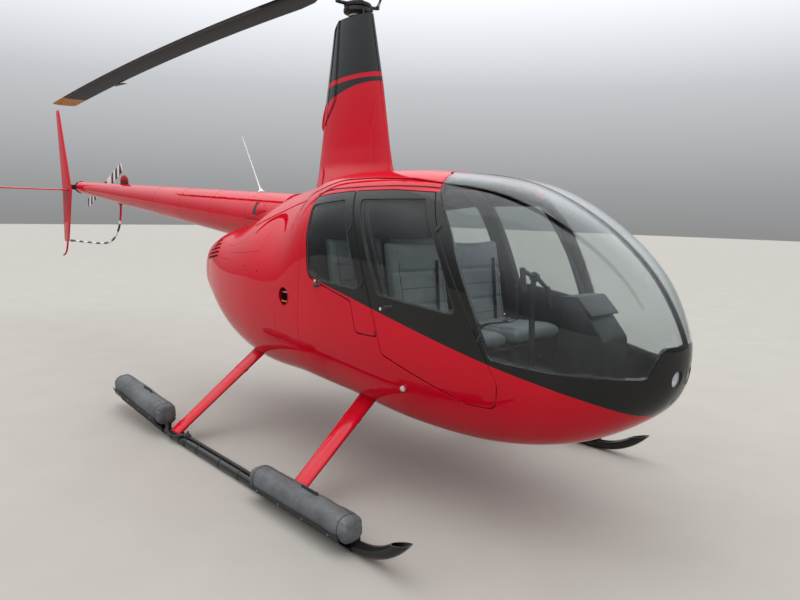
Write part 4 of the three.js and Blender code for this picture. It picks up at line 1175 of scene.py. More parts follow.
def hub():
    def nut(place, axis, radius=17.0):
        return lathe([(0, radius * 1.25), (3, radius * 1.25), (3, radius), (11, radius),
                      (13, radius * 0.85), (13, 0.5)], place, axis, "steel", 6)

    shapes = [
        lathe([(0, 28), (255, 28), (262, 30), (316, 30), (324, 26), (324, 12), (325.5, 0.5)],
              (0, 0, 2934), UP, "dark_steel"),
        lathe([(0, 44), (2, 92), (8, 95), (20, 95), (26, 90), (30, 60), (30, 40)], (0, 0, 2992), UP,
              "panel_black", 48),
        lathe([(0, 40), (30, 38), (44, 32), (44, 29)], (0, 0, 3018), UP, "rubber"),
        block((-92, 92), (-CHEEK_Y, CHEEK_Y), (HUB_HEIGHT - 34, HUB_HEIGHT + 34), "dark_trim", 10,
              3),
        bar((0, -82, HUB_HEIGHT), (0, 82, HUB_HEIGHT), 36, "dark_trim", soft=4),
        nut((0, 80, HUB_HEIGHT), (0, 1, 0), 20), nut((0, -80, HUB_HEIGHT), (0, -1, 0), 20),
    ]
    cheek = rounded([(x, HUB_HEIGHT + z, 14) for x, z in (
        (-330, -30), (-120, -52), (120, -52), (330, -30), (330, 28), (120, 44), (-120, 44),
        (-330, 28))])
    for side in (-1, 1):
        low, high = sorted((side * CHEEK_Y, side * (CHEEK_Y - 20)))
        bolt_x = side * BOLT_X
        foot = np.array((side * 50, side * 140, 3013.0))
        knee = np.array((side * 130, side * 165, 3190.0))
        horn = np.array((side * 235, side * 48, HUB_HEIGHT - 8))
        shapes += [
            plate(cheek, low, high, "dark_trim", 3),
            bar((bolt_x, -CHEEK_Y - 12, HUB_HEIGHT), (bolt_x, CHEEK_Y + 12, HUB_HEIGHT), 20,
                "steel"),
            nut((bolt_x, CHEEK_Y, HUB_HEIGHT), (0, 1, 0)),
            nut((bolt_x, -CHEEK_Y, HUB_HEIGHT), (0, -1, 0)),
            bar((side * 28, side * 78, 3010), foot, 13, "panel_black", 11),
            bar(foot + (0, 0, -8), foot + (0, 0, 14), 17, "panel_black", soft=3),
            bar(foot, knee, 8, "panel_black", soft=4),
            bar(foot, foot + (knee - foot) * 0.22, 12, "steel", 9),
            bar(knee, knee + (foot - knee) * 0.22, 12, "steel", 9),
            lathe([(-15, 3), (-12, 11), (-6, 16), (0, 17.5), (6, 16), (12, 11), (15, 3)], knee, UP,
                  "steel", 20),
            tube(curved([knee, (side * 185, side * 120, 3192.0), horn], 12), 14, "panel_black", 14,
                 soft=5),
        ]
    return total(shapes)


def swashplate():
    shapes = [
        lathe([(0, 40), (0, 60), (22, 60), (26, 94), (30, 97), (50, 97), (54, 92), (54, 36)],
              (0, 0, 2931), UP, "dark_steel", 48),
        lathe([(-2, 60), (6, 66), (12, 60)], (0, 0, 2934), UP, "steel", 40),
    ]
    for angle in (35, 155, 275):
        lug = block((-14, 14), (-10, 10), (-9, 9), "dark_steel", 3).turned(angle, "Z")
        a = math.radians(angle)
        shapes.append(lug.moved(94 * math.cos(a), 94 * math.sin(a), 2971))
    for x, y in ((88, -22), (78, 38)):
        shapes.append(bar((x, y, 2968), (x * 1.03, y * 1.02, 2905), 7, "panel_black"))
    return total(shapes)


piece("swashplate", swashplate())
piece("rotor_hub", hub().turned(BLADE_AZIMUTH, "Z"), "main_rotor")
blade = main_blade()
for number in (1, 2):
    turn = BLADE_AZIMUTH + 180 * (number - 1)
    piece(f"main_blade_{number}", blade.turned(turn, "Z"), "main_rotor")


# Tail
BOOM_END = -6000.0
BOOM_JOINTS = (-1180, -1850, -2520, -3190, -3860, -4530, -5200, -5820)
TAIL_ROTOR = (-5893.0, 262.0, 1888.0)
TAIL_ANGLE = 21.0
FIN_Y = -150.0
VENT_FRONT, VENT_SCOOP, VENT_ANGLE = -850.0, 134.0, 156.0


def boom_height(x):
    return 1462 - 0.0681 * x


def boom_radius(x):
    return 252 + 0.0293 * x


def boom_point(x, angle, out=0.0):
    """A point on the boom's skin; the angle is 0 to port and 90 on top."""
    return np.array((x, 0, boom_height(x))) + spoke(angle) * (boom_radius(x) + out)


def tail_boom():
    stops = [(-500.0, -1.0), (BOOM_END + 3, -1.0), (BOOM_END, -4.0)]
    stops += [(x, -1.0) for x in range(-600, -6000, -110)
              if all(abs(x - joint) > 40 for joint in BOOM_JOINTS)]
    for joint in BOOM_JOINTS:
        stops += [(joint + 1.2, -1.0), (joint + 0.6, -2.2), (joint, -2.2), (joint - 0.6, -1.0)]
    stops.sort(reverse=True)
    shapes = [loft([[boom_point(x, -a, out) for a in range(0, 360, 6)] for x, out in stops],
                   "red_paint")]
    scoop_end = VENT_FRONT - VENT_SCOOP
    # Painted shade: the vent's mouth is a thin near-black patch standing in for the dark inside of
    # the opening.
    mouth = [[boom_point(x, a, 0.6) for a in range(170, 141, -3)]
             + [boom_point(x, a, -3) for a in range(142, 171, 4)]
             for x in np.linspace(scoop_end, scoop_end - 68, 6)]
    rim = [(-1, 142), (-1, 156), (-1, 171), (-36, 171.5), (-68, 171), (-68, 156), (-68, 142),
           (-36, 141.5), (-1, 142)]
    rim_line = curved([boom_point(scoop_end + dx, a, 0.5) for dx, a in rim], 10)
    shapes += [loft(mouth, "rubber"), tube(rim_line, 2.4, "red_paint", 8)]
    for side in (-1, 1):
        edge = [boom_point(VENT_FRONT - VENT_SCOOP * t, VENT_ANGLE + side * (3.4 + 11 * t), 0.4)
                for t in np.linspace(0, 1, 8)]
        shapes.append(tube(edge, 1.0, "rubber", 6))
    scoop = []
    for t in (0.0, 0.08, 0.2, 0.4, 0.6, 0.8, 1.0):
        half, rise, x = 3 + 11 * t, 15 * math.sin(t * math.pi / 2), VENT_FRONT - VENT_SCOOP * t
        steps = np.linspace(1, -1, 15)
        scoop.append([boom_point(x, VENT_ANGLE + half * s, rise * (1 - abs(s) ** 3) + 0.2)
                      for s in steps] + [boom_point(x, VENT_ANGLE + half * s, -4) for s in -steps])
    seam = [boom_point(x, 176 - 8 * math.sin((x + 700) / 900), 0.4)
            for x in np.linspace(-620, -1150, 24)]
    collar = [boom_point(-655, a, 2.0) for a in range(0, 361, 8)]
    shapes += [loft(scoop, "red_paint"), tube(seam, 2.2, "rubber", 6),
               tube(collar, 5.0, "red_paint", 8, joined_ends=True)]
    for joint in BOOM_JOINTS[:4]:
        for x in (joint - 14, joint + 14):
            for angle in range(4, 360, 12):
                foot, tip = boom_point(x, angle, -0.5), boom_point(x, angle, 1.0)
                shapes.append(lathe([(0, 3.4), (1.6, 3.0), (2.4, 1.4)], foot, tip - foot,
                                    "red_paint", 6))
    return total(shapes)


def tail_gearbox():
    end = boom_height(BOOM_END)
    x, _, z = TAIL_ROTOR
    shapes = [
        lathe([(0.5, 84), (8, 84), (10, 78), (36, 73), (44, 70), (46, 40), (50, 36), (58, 30),
               (60, 0.5)], (BOOM_END, 0, end), (-1, 0, 0.0681), "panel_black", 40),
        lathe([(0, 46), (70, 44), (74, 58), (86, 58), (90, 40), (150, 36), (190, 31), (204, 30)],
              (x, 0, z), (0, 1, 0), "panel_black", 36),
        lathe([(0, 12), (3, 12), (10, 9), (12, 0.5)], (x, -60, z + 40), (0, -0.4, 1), "steel", 16),
    ]
    for angle in range(0, 360, 45):
        shapes.append(bolt((BOOM_END - 6, 0, end) + spoke(angle) * 78, (-1, 0, 0), 7, 8, sides=6))
    return total(shapes)


def fin_part(levels, thickness):
    """A tail surface from levels of z, leading x, trailing x and a share of the thickness."""
    return loft([[(lead - 0.3 * (lead - trail) + a, FIN_Y + b, z)
                  for a, b in airfoil(lead - trail, thickness * share, 32)]
                 for z, lead, trail, share in levels], "red_paint")


def fin():
    upper = fin_part([(1815, -5915, -6320, 1), (1900, -5948, -6332, 1), (2400, -6138, -6397, 0.95),
                      (2860, -6312, -6459, 0.85), (2900, -6326, -6462, 0.72),
                      (2918, -6338, -6456, 0.5), (2925, -6350, -6440, 0.3)], 42)
    lower = fin_part([(1120, -6132, -6334, 0.3), (1123, -6128, -6336, 0.55),
                      (1134, -6123, -6335, 0.85), (1400, -6042, -6330, 1), (1700, -5950, -6324, 1),
                      (1816, -5915, -6322, 1)], 38)
    skid = curved([(-6186, FIN_Y, 1150), (-6190, FIN_Y, 1125), (-6225, FIN_Y, 1030),
                   (-6300, FIN_Y, 950), (-6398, FIN_Y, 918)], 18)
    mount_z = boom_height(BOOM_END)
    shapes = [
        upper, lower, tube(skid, 12, "red_paint", 14, soft=8),
        bar(skid[-1] + (30, 0, 6), skid[-1] + (2, 0, 0), 12.8, "dark_steel", soft=4),
        block((BOOM_END - 90, BOOM_END - 47), (FIN_Y + 8, -40), (mount_z - 34, mount_z + 34),
              "panel_black", 6),
    ]
    for z in (1250, 1500, 1700, 2050, 2400, 2750):
        lead = np.interp(z, (1120, 1816, 2905), (-6125, -5915, -6325))
        shapes += [lathe([(-3, 4), (1.0, 3.6), (1.8, 1.6)],
                         (lead - k * 58, FIN_Y + side * 12.5 * (1.2 - 0.12 * k), z), (0, side, 0),
                         "red_paint", 8) for k in range(1, 6)
                   if lead - k * 58 > -6310 - max(z - 1815, 0) * 0.13 for side in (-1, 1)]
    return total([*shapes, bar((-6352, FIN_Y, 2900), (-6410, FIN_Y, 2900), 5, "steel")])


def stabiliser():
    levels = [(-1090, 0.35, 0.3), (-1086, 0.75, 0.6), (-1076, 0.93, 0.85), (-1050, 1, 1),
              (-640, 1, 1), (-170, 1, 1), (-168, 0.98, 0.9)]
    shapes = [loft([[(-6090 + a, y, 1827 - b)
                     for a, b in airfoil(300 * chord_share, 34 * share, 32)]
                    for y, chord_share, share in levels], "red_paint")]
    for x in (-6040, -6120, -6200):
        for y in (-215, -190):
            shapes.append(lathe([(-4, 5), (1.5, 4.6), (2.6, 2)], (x, y, 1836), UP, "steel", 8))
    return total(shapes)


def tail_guard():
    line = curved([(-4540, 0, 1640), (-4560, 0, 1510), (-4640, 0, 1340), (-4860, 0, 1195),
                   (-5160, -20, 1140), (-5700, -90, 1136), (-6075, FIN_Y + 20, 1136)], 14)
    run = run_of(np.linalg.norm(np.diff(line, axis=0), axis=1))
    body = tube(line, 12.6, "white_paint", 16)
    bands = ["red_paint" if length < 190 else ("panel_black", "white_paint")[int(length / 118) % 2]
             for length in run[:-1]]
    body.finishes = [band for band in bands for _ in range(16)] + ["red_paint", "panel_black"]
    foot = bar((-6040, FIN_Y + 26, 1136), (-6095, FIN_Y + 18, 1136), 17, "panel_black", soft=4)
    root = boom_point(-4540, -90)
    cuff = lathe([(-6, 34), (3, 33), (6, 26), (10, 18), (24, 15)], root, (0, 0, -1), "red_paint",
                 24)
    return total([body, foot, cuff])


def tail_blade():
    reach, chords, thicknesses = np.array([(60, 60, 34), (96, 74, 30), (130, 90, 26),
                                           (200, 130, 18), (737, 130, 12)], float).T
    # Ends of the painted bands, and the band's colour from each to the next
    edges = [60, 96, 130, 165, 200, 330, 410, 490, 570, 650, 722, 732, 737]
    names = [dict(b="panel_black", w="white_paint")[letter] for letter in "bbbwwbwbwbww"]
    rings = []
    for r in edges:
        chord, thickness = np.interp(r, reach, chords), np.interp(r, reach, thicknesses)
        slant = 0.55 if 300 < r < 700 else 0.0
        share = {732: 0.8, 737: 0.45}.get(r, 1.0)
        rings.append([(r + slant * (z / chord + 0.2) * chord, TAIL_ROTOR[1] + y * share,
                       z * (0.9 + 0.1 * share)) for z, y in airfoil(chord, thickness, 28)])
    body = loft(np.array(rings)[:, ::-1], "white_paint")
    body.finishes = [n for n in names for _ in range(28)] + ["panel_black", "white_paint"]
    return body + block((97, 132), (238, 286), (-22, 22), "dark_steel", 5)


def tail_hub():
    shapes = [
        lathe([(212, 27), (238, 28), (292, 27), (300, 22), (306, 14), (306, 0.5)], (0, 0, 0),
              (0, 1, 0), "dark_steel", 28),
        block((-95, 95), (237, 287), (-23, 23), "dark_steel", 6, 3),
        bar((0, 262, -34), (0, 262, 34), 14, "steel", soft=3),
    ]
    for side in (-1, 1):
        link = curved([(side * 60, 240, 16), (side * 40, 226, 34), (0, 222, 40)], 8)
        shapes += [bar((side * 78, 262, -30), (side * 78, 262, 30), 9, "steel", soft=3),
                   tube(link, 6, "panel_black", 10)]
    return total(shapes)


piece("tail_boom", tail_boom())
piece("tail_gearbox", tail_gearbox())
piece("vertical_fin", fin())
piece("stabiliser", stabiliser())
piece("tail_guard", tail_guard())


def at_tail_rotor(shape):
    return shape.turned(-TAIL_ANGLE, "Y").moved(TAIL_ROTOR[0], 0, TAIL_ROTOR[2])


piece("tail_rotor_hub", at_tail_rotor(tail_hub()), "tail_rotor")
blade = tail_blade()
for number in (1, 2):
    placed = at_tail_rotor(blade.turned(180 * (number - 1), "Y"))
    piece(f"tail_blade_{number}", placed, "tail_rotor")

antenna_foot, antenna_tip = np.array((-1277.0, 0, 1768)), np.array((-1589.0, 0, 2250))
whip = [antenna_foot + (antenna_tip - antenna_foot) * t for t in (0, 0.05, 0.06, 0.3, 0.97, 1.0)]
piece("antenna", [tube(whip, [11, 9, 5.5, 4.6, 3.2, 1.6], "white_paint", 14),
                  lathe([(-6, 30), (2, 30), (7, 22), (16, 13), (26, 11)], antenna_foot + (0, 0, -4),
                        (-0.2, 0, 1), "white_paint", 24)])


def beacon_part(profile, z, finish):
    return lathe(profile, (-4398, 0, z), UP, finish, 36)


piece("beacon", [
    beacon_part([(0, 48), (88, 46), (92, 47), (98, 47), (102, 43)], 1800, "panel_black"),
    beacon_part([(0, 45), (8, 46), (30, 45.5), (50, 42), (68, 35), (82, 25), (90, 13), (92, 0.5)],
                1899, "beacon_red"),
    *[beacon_part([(0, 46.6), (1.2, 47), (2.4, 46.6)], 1906 + 7 * k, "beacon_red")
      for k in range(4)],
])


# Landing gear
GEAR = dict(front=(832, 654, 430, 470), rear=(-569, -601, 440, 548))
STRUT_CHORDS, STRUT_THICKNESS = (60.0, 80.0), 25.0
SKID_Y = 1092.0
SKID_RADIUS, BAND_RADIUS = 31.0, 31.2
SKID_HEIGHT = 31.88
SKID_REAR = -1690.0
SKID_RISE_X, SKID_RISE = -640.0, math.tan(math.radians(4.5))
SKID_BEND_X, SKID_BEND_RADIUS = 1375.0, 466.0
MOUTH_X, MOUTH_HEIGHT, MOUTH_SLOPE = 1702.0, 167.0, math.tan(math.radians(18))
MOUTH_BASE_ANGLE = 26.0


def gear(foot_x, top_x, top_y, top_z):
    """Cross tube and two struts with a streamlined section, round in front and thin behind."""
    foot = np.array((foot_x, 1084.0, 92.0))
    top = np.array((top_x, top_y - 70.0, top_z + 46.0))
    across = unit(np.cross(top - foot, (1, 0, 0)))

    def sleeve(*sections):
        """A surface through sections at shares of the strut's length, each grown a little."""
        rings = []
        for t, more in sections:
            chord = STRUT_CHORDS[0] + (STRUT_CHORDS[1] - STRUT_CHORDS[0]) * t + more
            thick = STRUT_THICKNESS + more
            middle = foot + (top - foot) * t
            rings.append([middle + (chord * math.cos(a), 0, 0)
                          + across * thick * math.sin(a) * (0.82 + 0.26 * math.cos(a))
                          for a in circle(36)])
        return loft(rings, "red_paint")

    strut = sleeve((-0.03, 0), (0.2, 0), (0.5, 0), (0.8, 0), (1.0, 0))
    cuff = sleeve((-0.045, -2), (-0.04, 3), (0.05, 3), (0.055, 1), (0.055, -2))
    collar = sleeve((0.68, -2), (0.68, 2.5), (0.7, 3), (0.72, 2.5), (0.72, -2))
    cross = bar((top_x, -top_y + 60, top_z + 38), (top_x, top_y - 60, top_z + 38), 30, "red_paint")
    bolts = [lathe([(-2, 9), (3, 9), (6, 7), (6, 0.5)],
                   foot + (top - foot) * t + across * 20 + (dx, 0, 0), across, "red_paint", 12)
             for t in (0.02, 0.045) for dx in (-22, 18)]
    return total([strut, cuff, collar, *bolts]).both_sides() + cross


def skid_height(x):
    return SKID_HEIGHT + max(SKID_RISE_X - x, 0.0) * SKID_RISE


def skid_ring(x, radius):
    return [(x, SKID_Y - math.sin(a) * radius, skid_height(x) + math.cos(a) * radius)
            for a in circle(36)]


def curl_point(angle, around, radius):
    """A point on the curled front end of the skid tube."""
    a = math.radians(angle)
    middle = np.array((SKID_BEND_X + SKID_BEND_RADIUS * math.sin(a), SKID_Y,
                       SKID_HEIGHT + SKID_BEND_RADIUS * (1 - math.cos(a))))
    inward = np.array((-math.sin(a), 0, math.cos(a)))
    return middle + radius * (math.cos(around) * inward + np.array((0, -math.sin(around), 0)))


def mouth_angle(around, radius):
    """Where the curl meets the nearly level cut of its mouth."""
    low, high = MOUTH_BASE_ANGLE, 62.0
    for _ in range(20):
        middle = (low + high) / 2
        x, _, z = curl_point(middle, around, radius)
        below = z < MOUTH_HEIGHT + (x - MOUTH_X) * MOUTH_SLOPE
        low, high = (middle, high) if below else (low, middle)
    return low


def curl_ring(share, radius):
    """A ring of the curl: 0 where it starts to lean, 1 at the mouth."""
    return [curl_point(MOUTH_BASE_ANGLE + (mouth_angle(a, radius) - MOUTH_BASE_ANGLE) * share, a,
                       radius) for a in circle(36)]


def arc_band(x, thickness, start, end, width):
    """A clamp band round the skid's upper side."""
    half, middle, rings = np.array((width / 2, 0, 0)), np.array((x, SKID_Y, skid_height(x))), []
    for way in map(spoke, np.linspace(start, end, 26)):
        low, high = middle + way * BAND_RADIUS, middle + way * (BAND_RADIUS + thickness)
        rings.append([low - half, low + half, high + half, high - half])
    return softened(loft(rings, "rubber"), 0.8, 1)


def skid():
    rings = [skid_ring(SKID_REAR, SKID_RADIUS * 0.88)]
    rings += [skid_ring(x, SKID_RADIUS)
              for x in (SKID_REAR + 4, -1500, -1200, -900, SKID_RISE_X - 20, SKID_RISE_X + 20, -300,
                        0, 400, 800, 1200, SKID_BEND_X)]
    rings += [[curl_point(angle, a, SKID_RADIUS) for a in circle(36)] for angle in (5, 10, 15, 20)]
    rings += [curl_ring(share, SKID_RADIUS) for share in np.linspace(0, 1, 9)]
    outer = len(rings) - 1
    rings += [curl_ring(1.0, SKID_RADIUS - 3.2), curl_ring(0.85, SKID_RADIUS - 4),
              curl_ring(0, SKID_RADIUS - 4)]
    body = loft(rings, "black_paint")
    body.finishes = [finish for finish, count in (("black_paint", outer * 36), ("steel", 36),
                                                  ("panel_black", 72), ("black_paint", 1),
                                                  ("panel_black", 1)) for _ in range(count)]
    shapes = [body]

    def fitting(x, y, z, finish, width, segments=2):
        """A block on the skid, its y values from the skid's middle line."""
        shapes.append(block(x, (SKID_Y + y[0], SKID_Y + y[1]), z, finish, width, segments))

    for foot_x, *_ in GEAR.values():
        fitting((foot_x - 54, foot_x + 54), (-27, 27), (40, 72), "panel_black", 9, 3)
        for x in (foot_x - 66, foot_x + 66):
            shapes.append(arc_band(x, 3.2, -58, 238, 18))
            fitting((x - 8, x + 8), (8, 26), (56, 72), "dark_trim", 3)
        shapes += [lathe([(0, 7.5), (5, 7.5), (7, 6), (7, 0.5)], (foot_x + dx, SKID_Y + dy, 70), UP,
                         "dark_steel", 6) for dx in (-38, 38) for dy in (-18, 18)]
    shapes += [arc_band(x, 2.4, -50, 230, 11) for x in (-440, -410, -240, 60, 300)]
    hose = curved([(x, SKID_Y + y, z) for x, y, z in (
        (-730, 16, 112), (-700, 18, 84), (-672, 34, 62), (-610, 42, 50), (-520, 36, 56),
        (-470, 10, 72), (-420, -4, 73), (-200, -6, 73), (100, -6, 73), (300, -6, 73), (430, -2, 74),
        (552, 12, 84))], 20)
    shapes.append(tube(hose, 9.0, "rubber", 12))
    for x, y, z in ((-700, 20, 84), (-674, 32, 66), (-486, 18, 68), (-440, 2, 76), (-410, -4, 76)):
        shapes.append(lathe([(-9, 10), (-7, 13.5), (7, 13.5), (9, 10)], (x, SKID_Y + y, z),
                            (1, -0.4, 0), "dark_trim", 14))
    fitting((-452, -396), (-17, 7), (66, 94), "dark_trim", 6)
    shapes.append(bar((-424, SKID_Y - 4, 90), (-424, SKID_Y - 4, 112), 7, "dark_steel", soft=2))
    fitting((-250, -228), (-12, 4), (62, 84), "dark_trim", 5)
    return total(shapes)


for name, places in GEAR.items():
    piece(f"gear_{name}", gear(*places))
pair("skid_{}", skid())


# Soft goods: filled by pressure in a cloth simulation, then given their seams
INFLATE_FRAMES = 20


def applied(draft):
    """The object's mesh with its modifiers applied; the object itself goes."""
    graph = bpy.context.evaluated_depsgraph_get()
    mesh = bpy.data.meshes.new_from_object(draft.evaluated_get(graph), depsgraph=graph)
    bpy.data.objects.remove(draft)
    return mesh


def places_of(mesh):
    places = np.empty(len(mesh.vertices) * 3)
    mesh.vertices.foreach_get("co", places)
    return places.reshape(-1, 3)


def filled_form(shape, pressure, cap, voxel, wrinkle, grain, seed):
    """A soft form, remeshed, wrinkled and blown up by cloth pressure, by no more than the cap."""
    draft = added("draft", mesh_of("draft", shape))
    remesh = draft.modifiers.new("remesh", "REMESH")
    remesh.mode, remesh.voxel_size = "VOXEL", voxel
    mesh = applied(draft)
    start, normals = places_of(mesh), np.array([v.normal[:] for v in mesh.vertices])
    lift = np.array([noise.fractal(Vector(p * grain) + Vector((seed, 0, 0)), 0.9, 2.1, 4)
                     for p in start])
    places = start = start + normals * (lift * wrinkle)[:, None]
    faces = [p.vertices[:] for p in mesh.polygons]
    mesh.vertices.foreach_set("co", start.ravel())
    draft, scene = added("draft", mesh), bpy.context.scene
    cloth = draft.modifiers.new("cloth", "CLOTH")
    cloth.settings.use_pressure = True
    cloth.settings.uniform_pressure_force = pressure
    cloth.settings.effector_weights.gravity = 0.0
    cloth.settings.quality, cloth.settings.mass = 5, 0.3
    cloth.settings.tension_stiffness = cloth.settings.compression_stiffness = 40.0
    cloth.point_cache.frame_start, cloth.point_cache.frame_end = 1, INFLATE_FRAMES
    for number in range(1, INFLATE_FRAMES + 1):
        scene.frame_set(number)
    way = places_of(applied(draft)) - start
    scene.frame_set(1)
    length = np.linalg.norm(way, axis=1)
    places = start + way * np.minimum(1, cap / np.maximum(length, 1e-9))[:, None]
    return Shape(places * 1000 - (MAST_X, 0, 0), faces, shape.finishes[0])


def tree_of(shape):
    return BVHTree.FromPolygons([Vector(p) for p in shape.points], shape.faces)


def hit(tree, start, way, default):
    place = tree.ray_cast(Vector(start), Vector(unit(way)))[0]
    return np.array(place) if place else np.asarray(default, float)


# Bags: rear end, front end, radius, outwards of the skid, height, tilt, seed
BAGS = dict(front=(540, 1422, 78, 32, 122, 0.0, 3.0), rear=(-1575, -712, 86, 12, 146, 4.5, 4.0))


def bag_form(rear, front, radius, out, height, seed):
    """A packed float: a round sausage of folded fabric with gathered ends."""
    centre = np.array((0, SKID_Y + out, height))
    gathers = [(0.0, 0.30), (0.006, 0.66), (0.02, 0.86), (0.045, 0.965), (0.09, 1.0), (0.5, 1.0),
               (0.91, 1.0), (0.955, 0.965), (0.98, 0.86), (0.994, 0.66), (1.0, 0.30)]
    rings = []
    for t, share in gathers:
        x = rear + 5 + (front - rear - 10) * t
        sizes = [(a, (radius - 9) * share
                  * (abs(math.cos(a)) ** 2.7 + abs(math.sin(a)) ** 2.7) ** (-1 / 2.7))
                 for a in circle(32)]
        rings.append([centre + (x, math.cos(a) * size, math.sin(a) * size) for a, size in sizes])
    form = filled_form(loft(rings, "grey_canvas"), 3.2, 0.008, 0.008, 0.0045, (5, 13, 13), seed)
    ends = np.minimum(form.points[:, 0] - rear, front - form.points[:, 0])
    from_axis = form.points[:, 1:] - centre[1:]
    angle = np.arctan2(from_axis[:, 1], from_axis[:, 0])
    pucker = np.exp(-(ends / 60) ** 2) * 2.6 * np.sin(angle * 11 + np.sin(angle * 3 + seed) * 2)
    crease = 3.2 * np.exp(-((ends - 62) / 7) ** 2)
    away = from_axis / np.maximum(np.linalg.norm(from_axis, axis=1), 1)[:, None]
    form.points[:, 1:] += away * (pucker - crease)[:, None]
    return form


def skirt(rear, front, radius, out, height, seed):
    """The dark cover that wraps the float's lower half and the skid."""
    bag, tube_centre = np.array((SKID_Y + out, height)), np.array((SKID_Y, SKID_HEIGHT))

    def profile(extra, top):
        """Down round the bag, under the skid tube and up behind the bag."""
        return [middle + (size + extra) * spoke(a)[1:] for middle, size, angles in (
            (bag, radius, np.linspace(top, -68, 9)),
            (tube_centre, SKID_RADIUS, np.linspace(-14, -166, 11)),
            (bag, radius, np.linspace(-118, -150, 4))) for a in angles]

    rings = []
    for x in np.linspace(rear + 34, front - 40, 44):
        top = -12 + 4 * noise.noise(Vector((x * 0.012, seed, 0)))
        wave = 1.2 * noise.noise(Vector((x * 0.02, seed + 5, 0)))
        outer, inner = profile(4.0 + wave, top), profile(1.6 + wave, top)
        ring = [(x, y, max(z, 1.0)) for y, z in outer]
        ring += [(x, y, max(z, 2.4)) for y, z in inner[::-1]]
        rings.append(ring[::-1])
    snap_way = spoke(-24)
    snaps = [lathe([(0, 6), (1.6, 6), (2.6, 4), (2.6, 0.5)], (x, *bag) + snap_way * (radius + 4),
                   snap_way, "steel", 12) for x in np.linspace(rear + 120, front - 120, 4)]
    return total([loft(rings, "dark_canvas"), *snaps])


def packed_float(rear, front, radius, out, height, tilt, seed):
    form = bag_form(rear, front, radius, out, height, seed)
    tree = tree_of(form)

    def on_bag(x, y, z, lift=0.0):
        centre = np.array((x, SKID_Y + out, height))
        return hit(tree, centre, (0, y, z), centre) + (0, 0, lift)

    shapes = [form]
    for x in (rear + 62, front - 62):
        ring = [on_bag(x, math.cos(a), math.sin(a)) for a in np.linspace(0, 2 * math.pi, 61)]
        shapes.append(tube(ring, 2.2, "dark_canvas", 6, joined_ends=True))
    closure = [on_bag(x, -0.25, 1) for x in np.linspace(rear + 40, front - 40, 60)]
    grip_x = (rear + front) / 2 + 60
    grip = [on_bag(x, -0.1, 1, 1.0) for x in np.linspace(grip_x - 70, grip_x + 70, 12)]
    shapes += [tube(closure, 1.8, "dark_canvas", 6), tube(grip, 17, "dark_canvas", 10, flat=0.2),
               skirt(rear, front, radius, out, height, seed + 4)]
    return total(shapes).turned(tilt, "Y", (SKID_RISE_X, 0, SKID_HEIGHT))


for row, places in BAGS.items():
    for bag in pair(f"float_bag_{row}_{{}}", packed_float(*places), smooth=50):
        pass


# Seats
CABIN_FLOOR = 620.6
SEAT_HALF = 235.0
CUSHION_SEAMS, CUSHION_EDGE = (-165, -330), 178
BACK_SEAMS, BACK_EDGE = (1080, 1270), 172


def seat_form(outline_at, cap, seed):
    """A stuffed form lofted from port to starboard, drawn in between its corners."""
    rings = []
    for t in np.linspace(1, 0, 15):
        outline = outline_at(7 * math.sin(math.pi * t), max(abs(2 * t - 1) - 0.9, 0) / 0.1)
        rings.append([(x, (-1 + 2 * t) * (SEAT_HALF - 9), z) for x, z in outline])
    return filled_form(loft(rings, "seat_leather"), 3.6, cap, 0.0095, 0.0016, (9, 9, 9), seed)


def cushion_outline(drawn, thinned_by):
    """The cushion's side view with its front edge at x = 0."""
    outline = rounded([(-486 + drawn, 868, 30), (-12 - drawn, 868, 36), (-12 - drawn, 950, 40),
                       (-480 + drawn, 932, 30)])
    middle = np.array((-245, 906))
    return middle + (outline - middle) * (1, 1 - 0.42 * thinned_by)


def back_lean(z):
    """How far the backrest leans back at a height."""
    return (z - 870) / 575 * 107


def back_outline(drawn, thinned_by):
    outline = rounded([(-508, 872, 26), (-412, 872, 30), (-530, 1444 - drawn, 44),
                       (-604, 1440 - drawn, 44)])
    spine = np.hstack([-460 - back_lean(outline[:, 1:]), outline[:, 1:]])
    return spine + (outline - spine) * (1 - 0.4 * thinned_by, 1)


def press(form, axis, seam_axis, seams, edge, where):
    """Sewn channels pressed into one side of a form, across at the seams and along both edges."""
    for at in seams:
        form.points[:, axis] -= np.exp(-((form.points[:, seam_axis] - at) / 9) ** 2) * 7 * where
    edge_gap = np.abs(np.abs(form.points[:, 1]) - edge)
    form.points[:, axis] -= np.exp(-(edge_gap / 8) ** 2) * 5 * where


cushion, back = seat_form(cushion_outline, 0.011, 11.0), seat_form(back_outline, 0.010, 17.0)
press(cushion, 2, 0, CUSHION_SEAMS, CUSHION_EDGE, cushion.points[:, 2] > 912)
press(back, 0, 2, BACK_SEAMS, BACK_EDGE, back.points[:, 0] > -455 - back_lean(back.points[:, 2]))
cushion_tree, back_tree = tree_of(cushion), tree_of(back)


def on_cushion(x, y):
    return hit(cushion_tree, (x, y, 1100), (0, 0, -1), (x, y, 950))


def on_back(y, z):
    return hit(back_tree, (0, y, z), (-1, 0, -0.2), (-450, y, z))


def piping(line, radius):
    return tube(line, radius, "dark_canvas", 6)


seat_soft = [
    cushion, back,
    *[piping([on_cushion(x, y) for y in np.linspace(-CUSHION_EDGE, CUSHION_EDGE, 22)], 1.6)
      for x in CUSHION_SEAMS],
    *[piping([on_cushion(x, y) for x in np.linspace(-470, -30, 22)], 2.0)
      for y in (-CUSHION_EDGE, CUSHION_EDGE)],
    *[piping([on_back(y, z) for y in np.linspace(-BACK_EDGE, BACK_EDGE, 22)], 1.6)
      for z in BACK_SEAMS],
    *[piping([on_back(y, z) for z in np.linspace(890, 1425, 26)], 2.0)
      for y in (-BACK_EDGE, BACK_EDGE)],
]


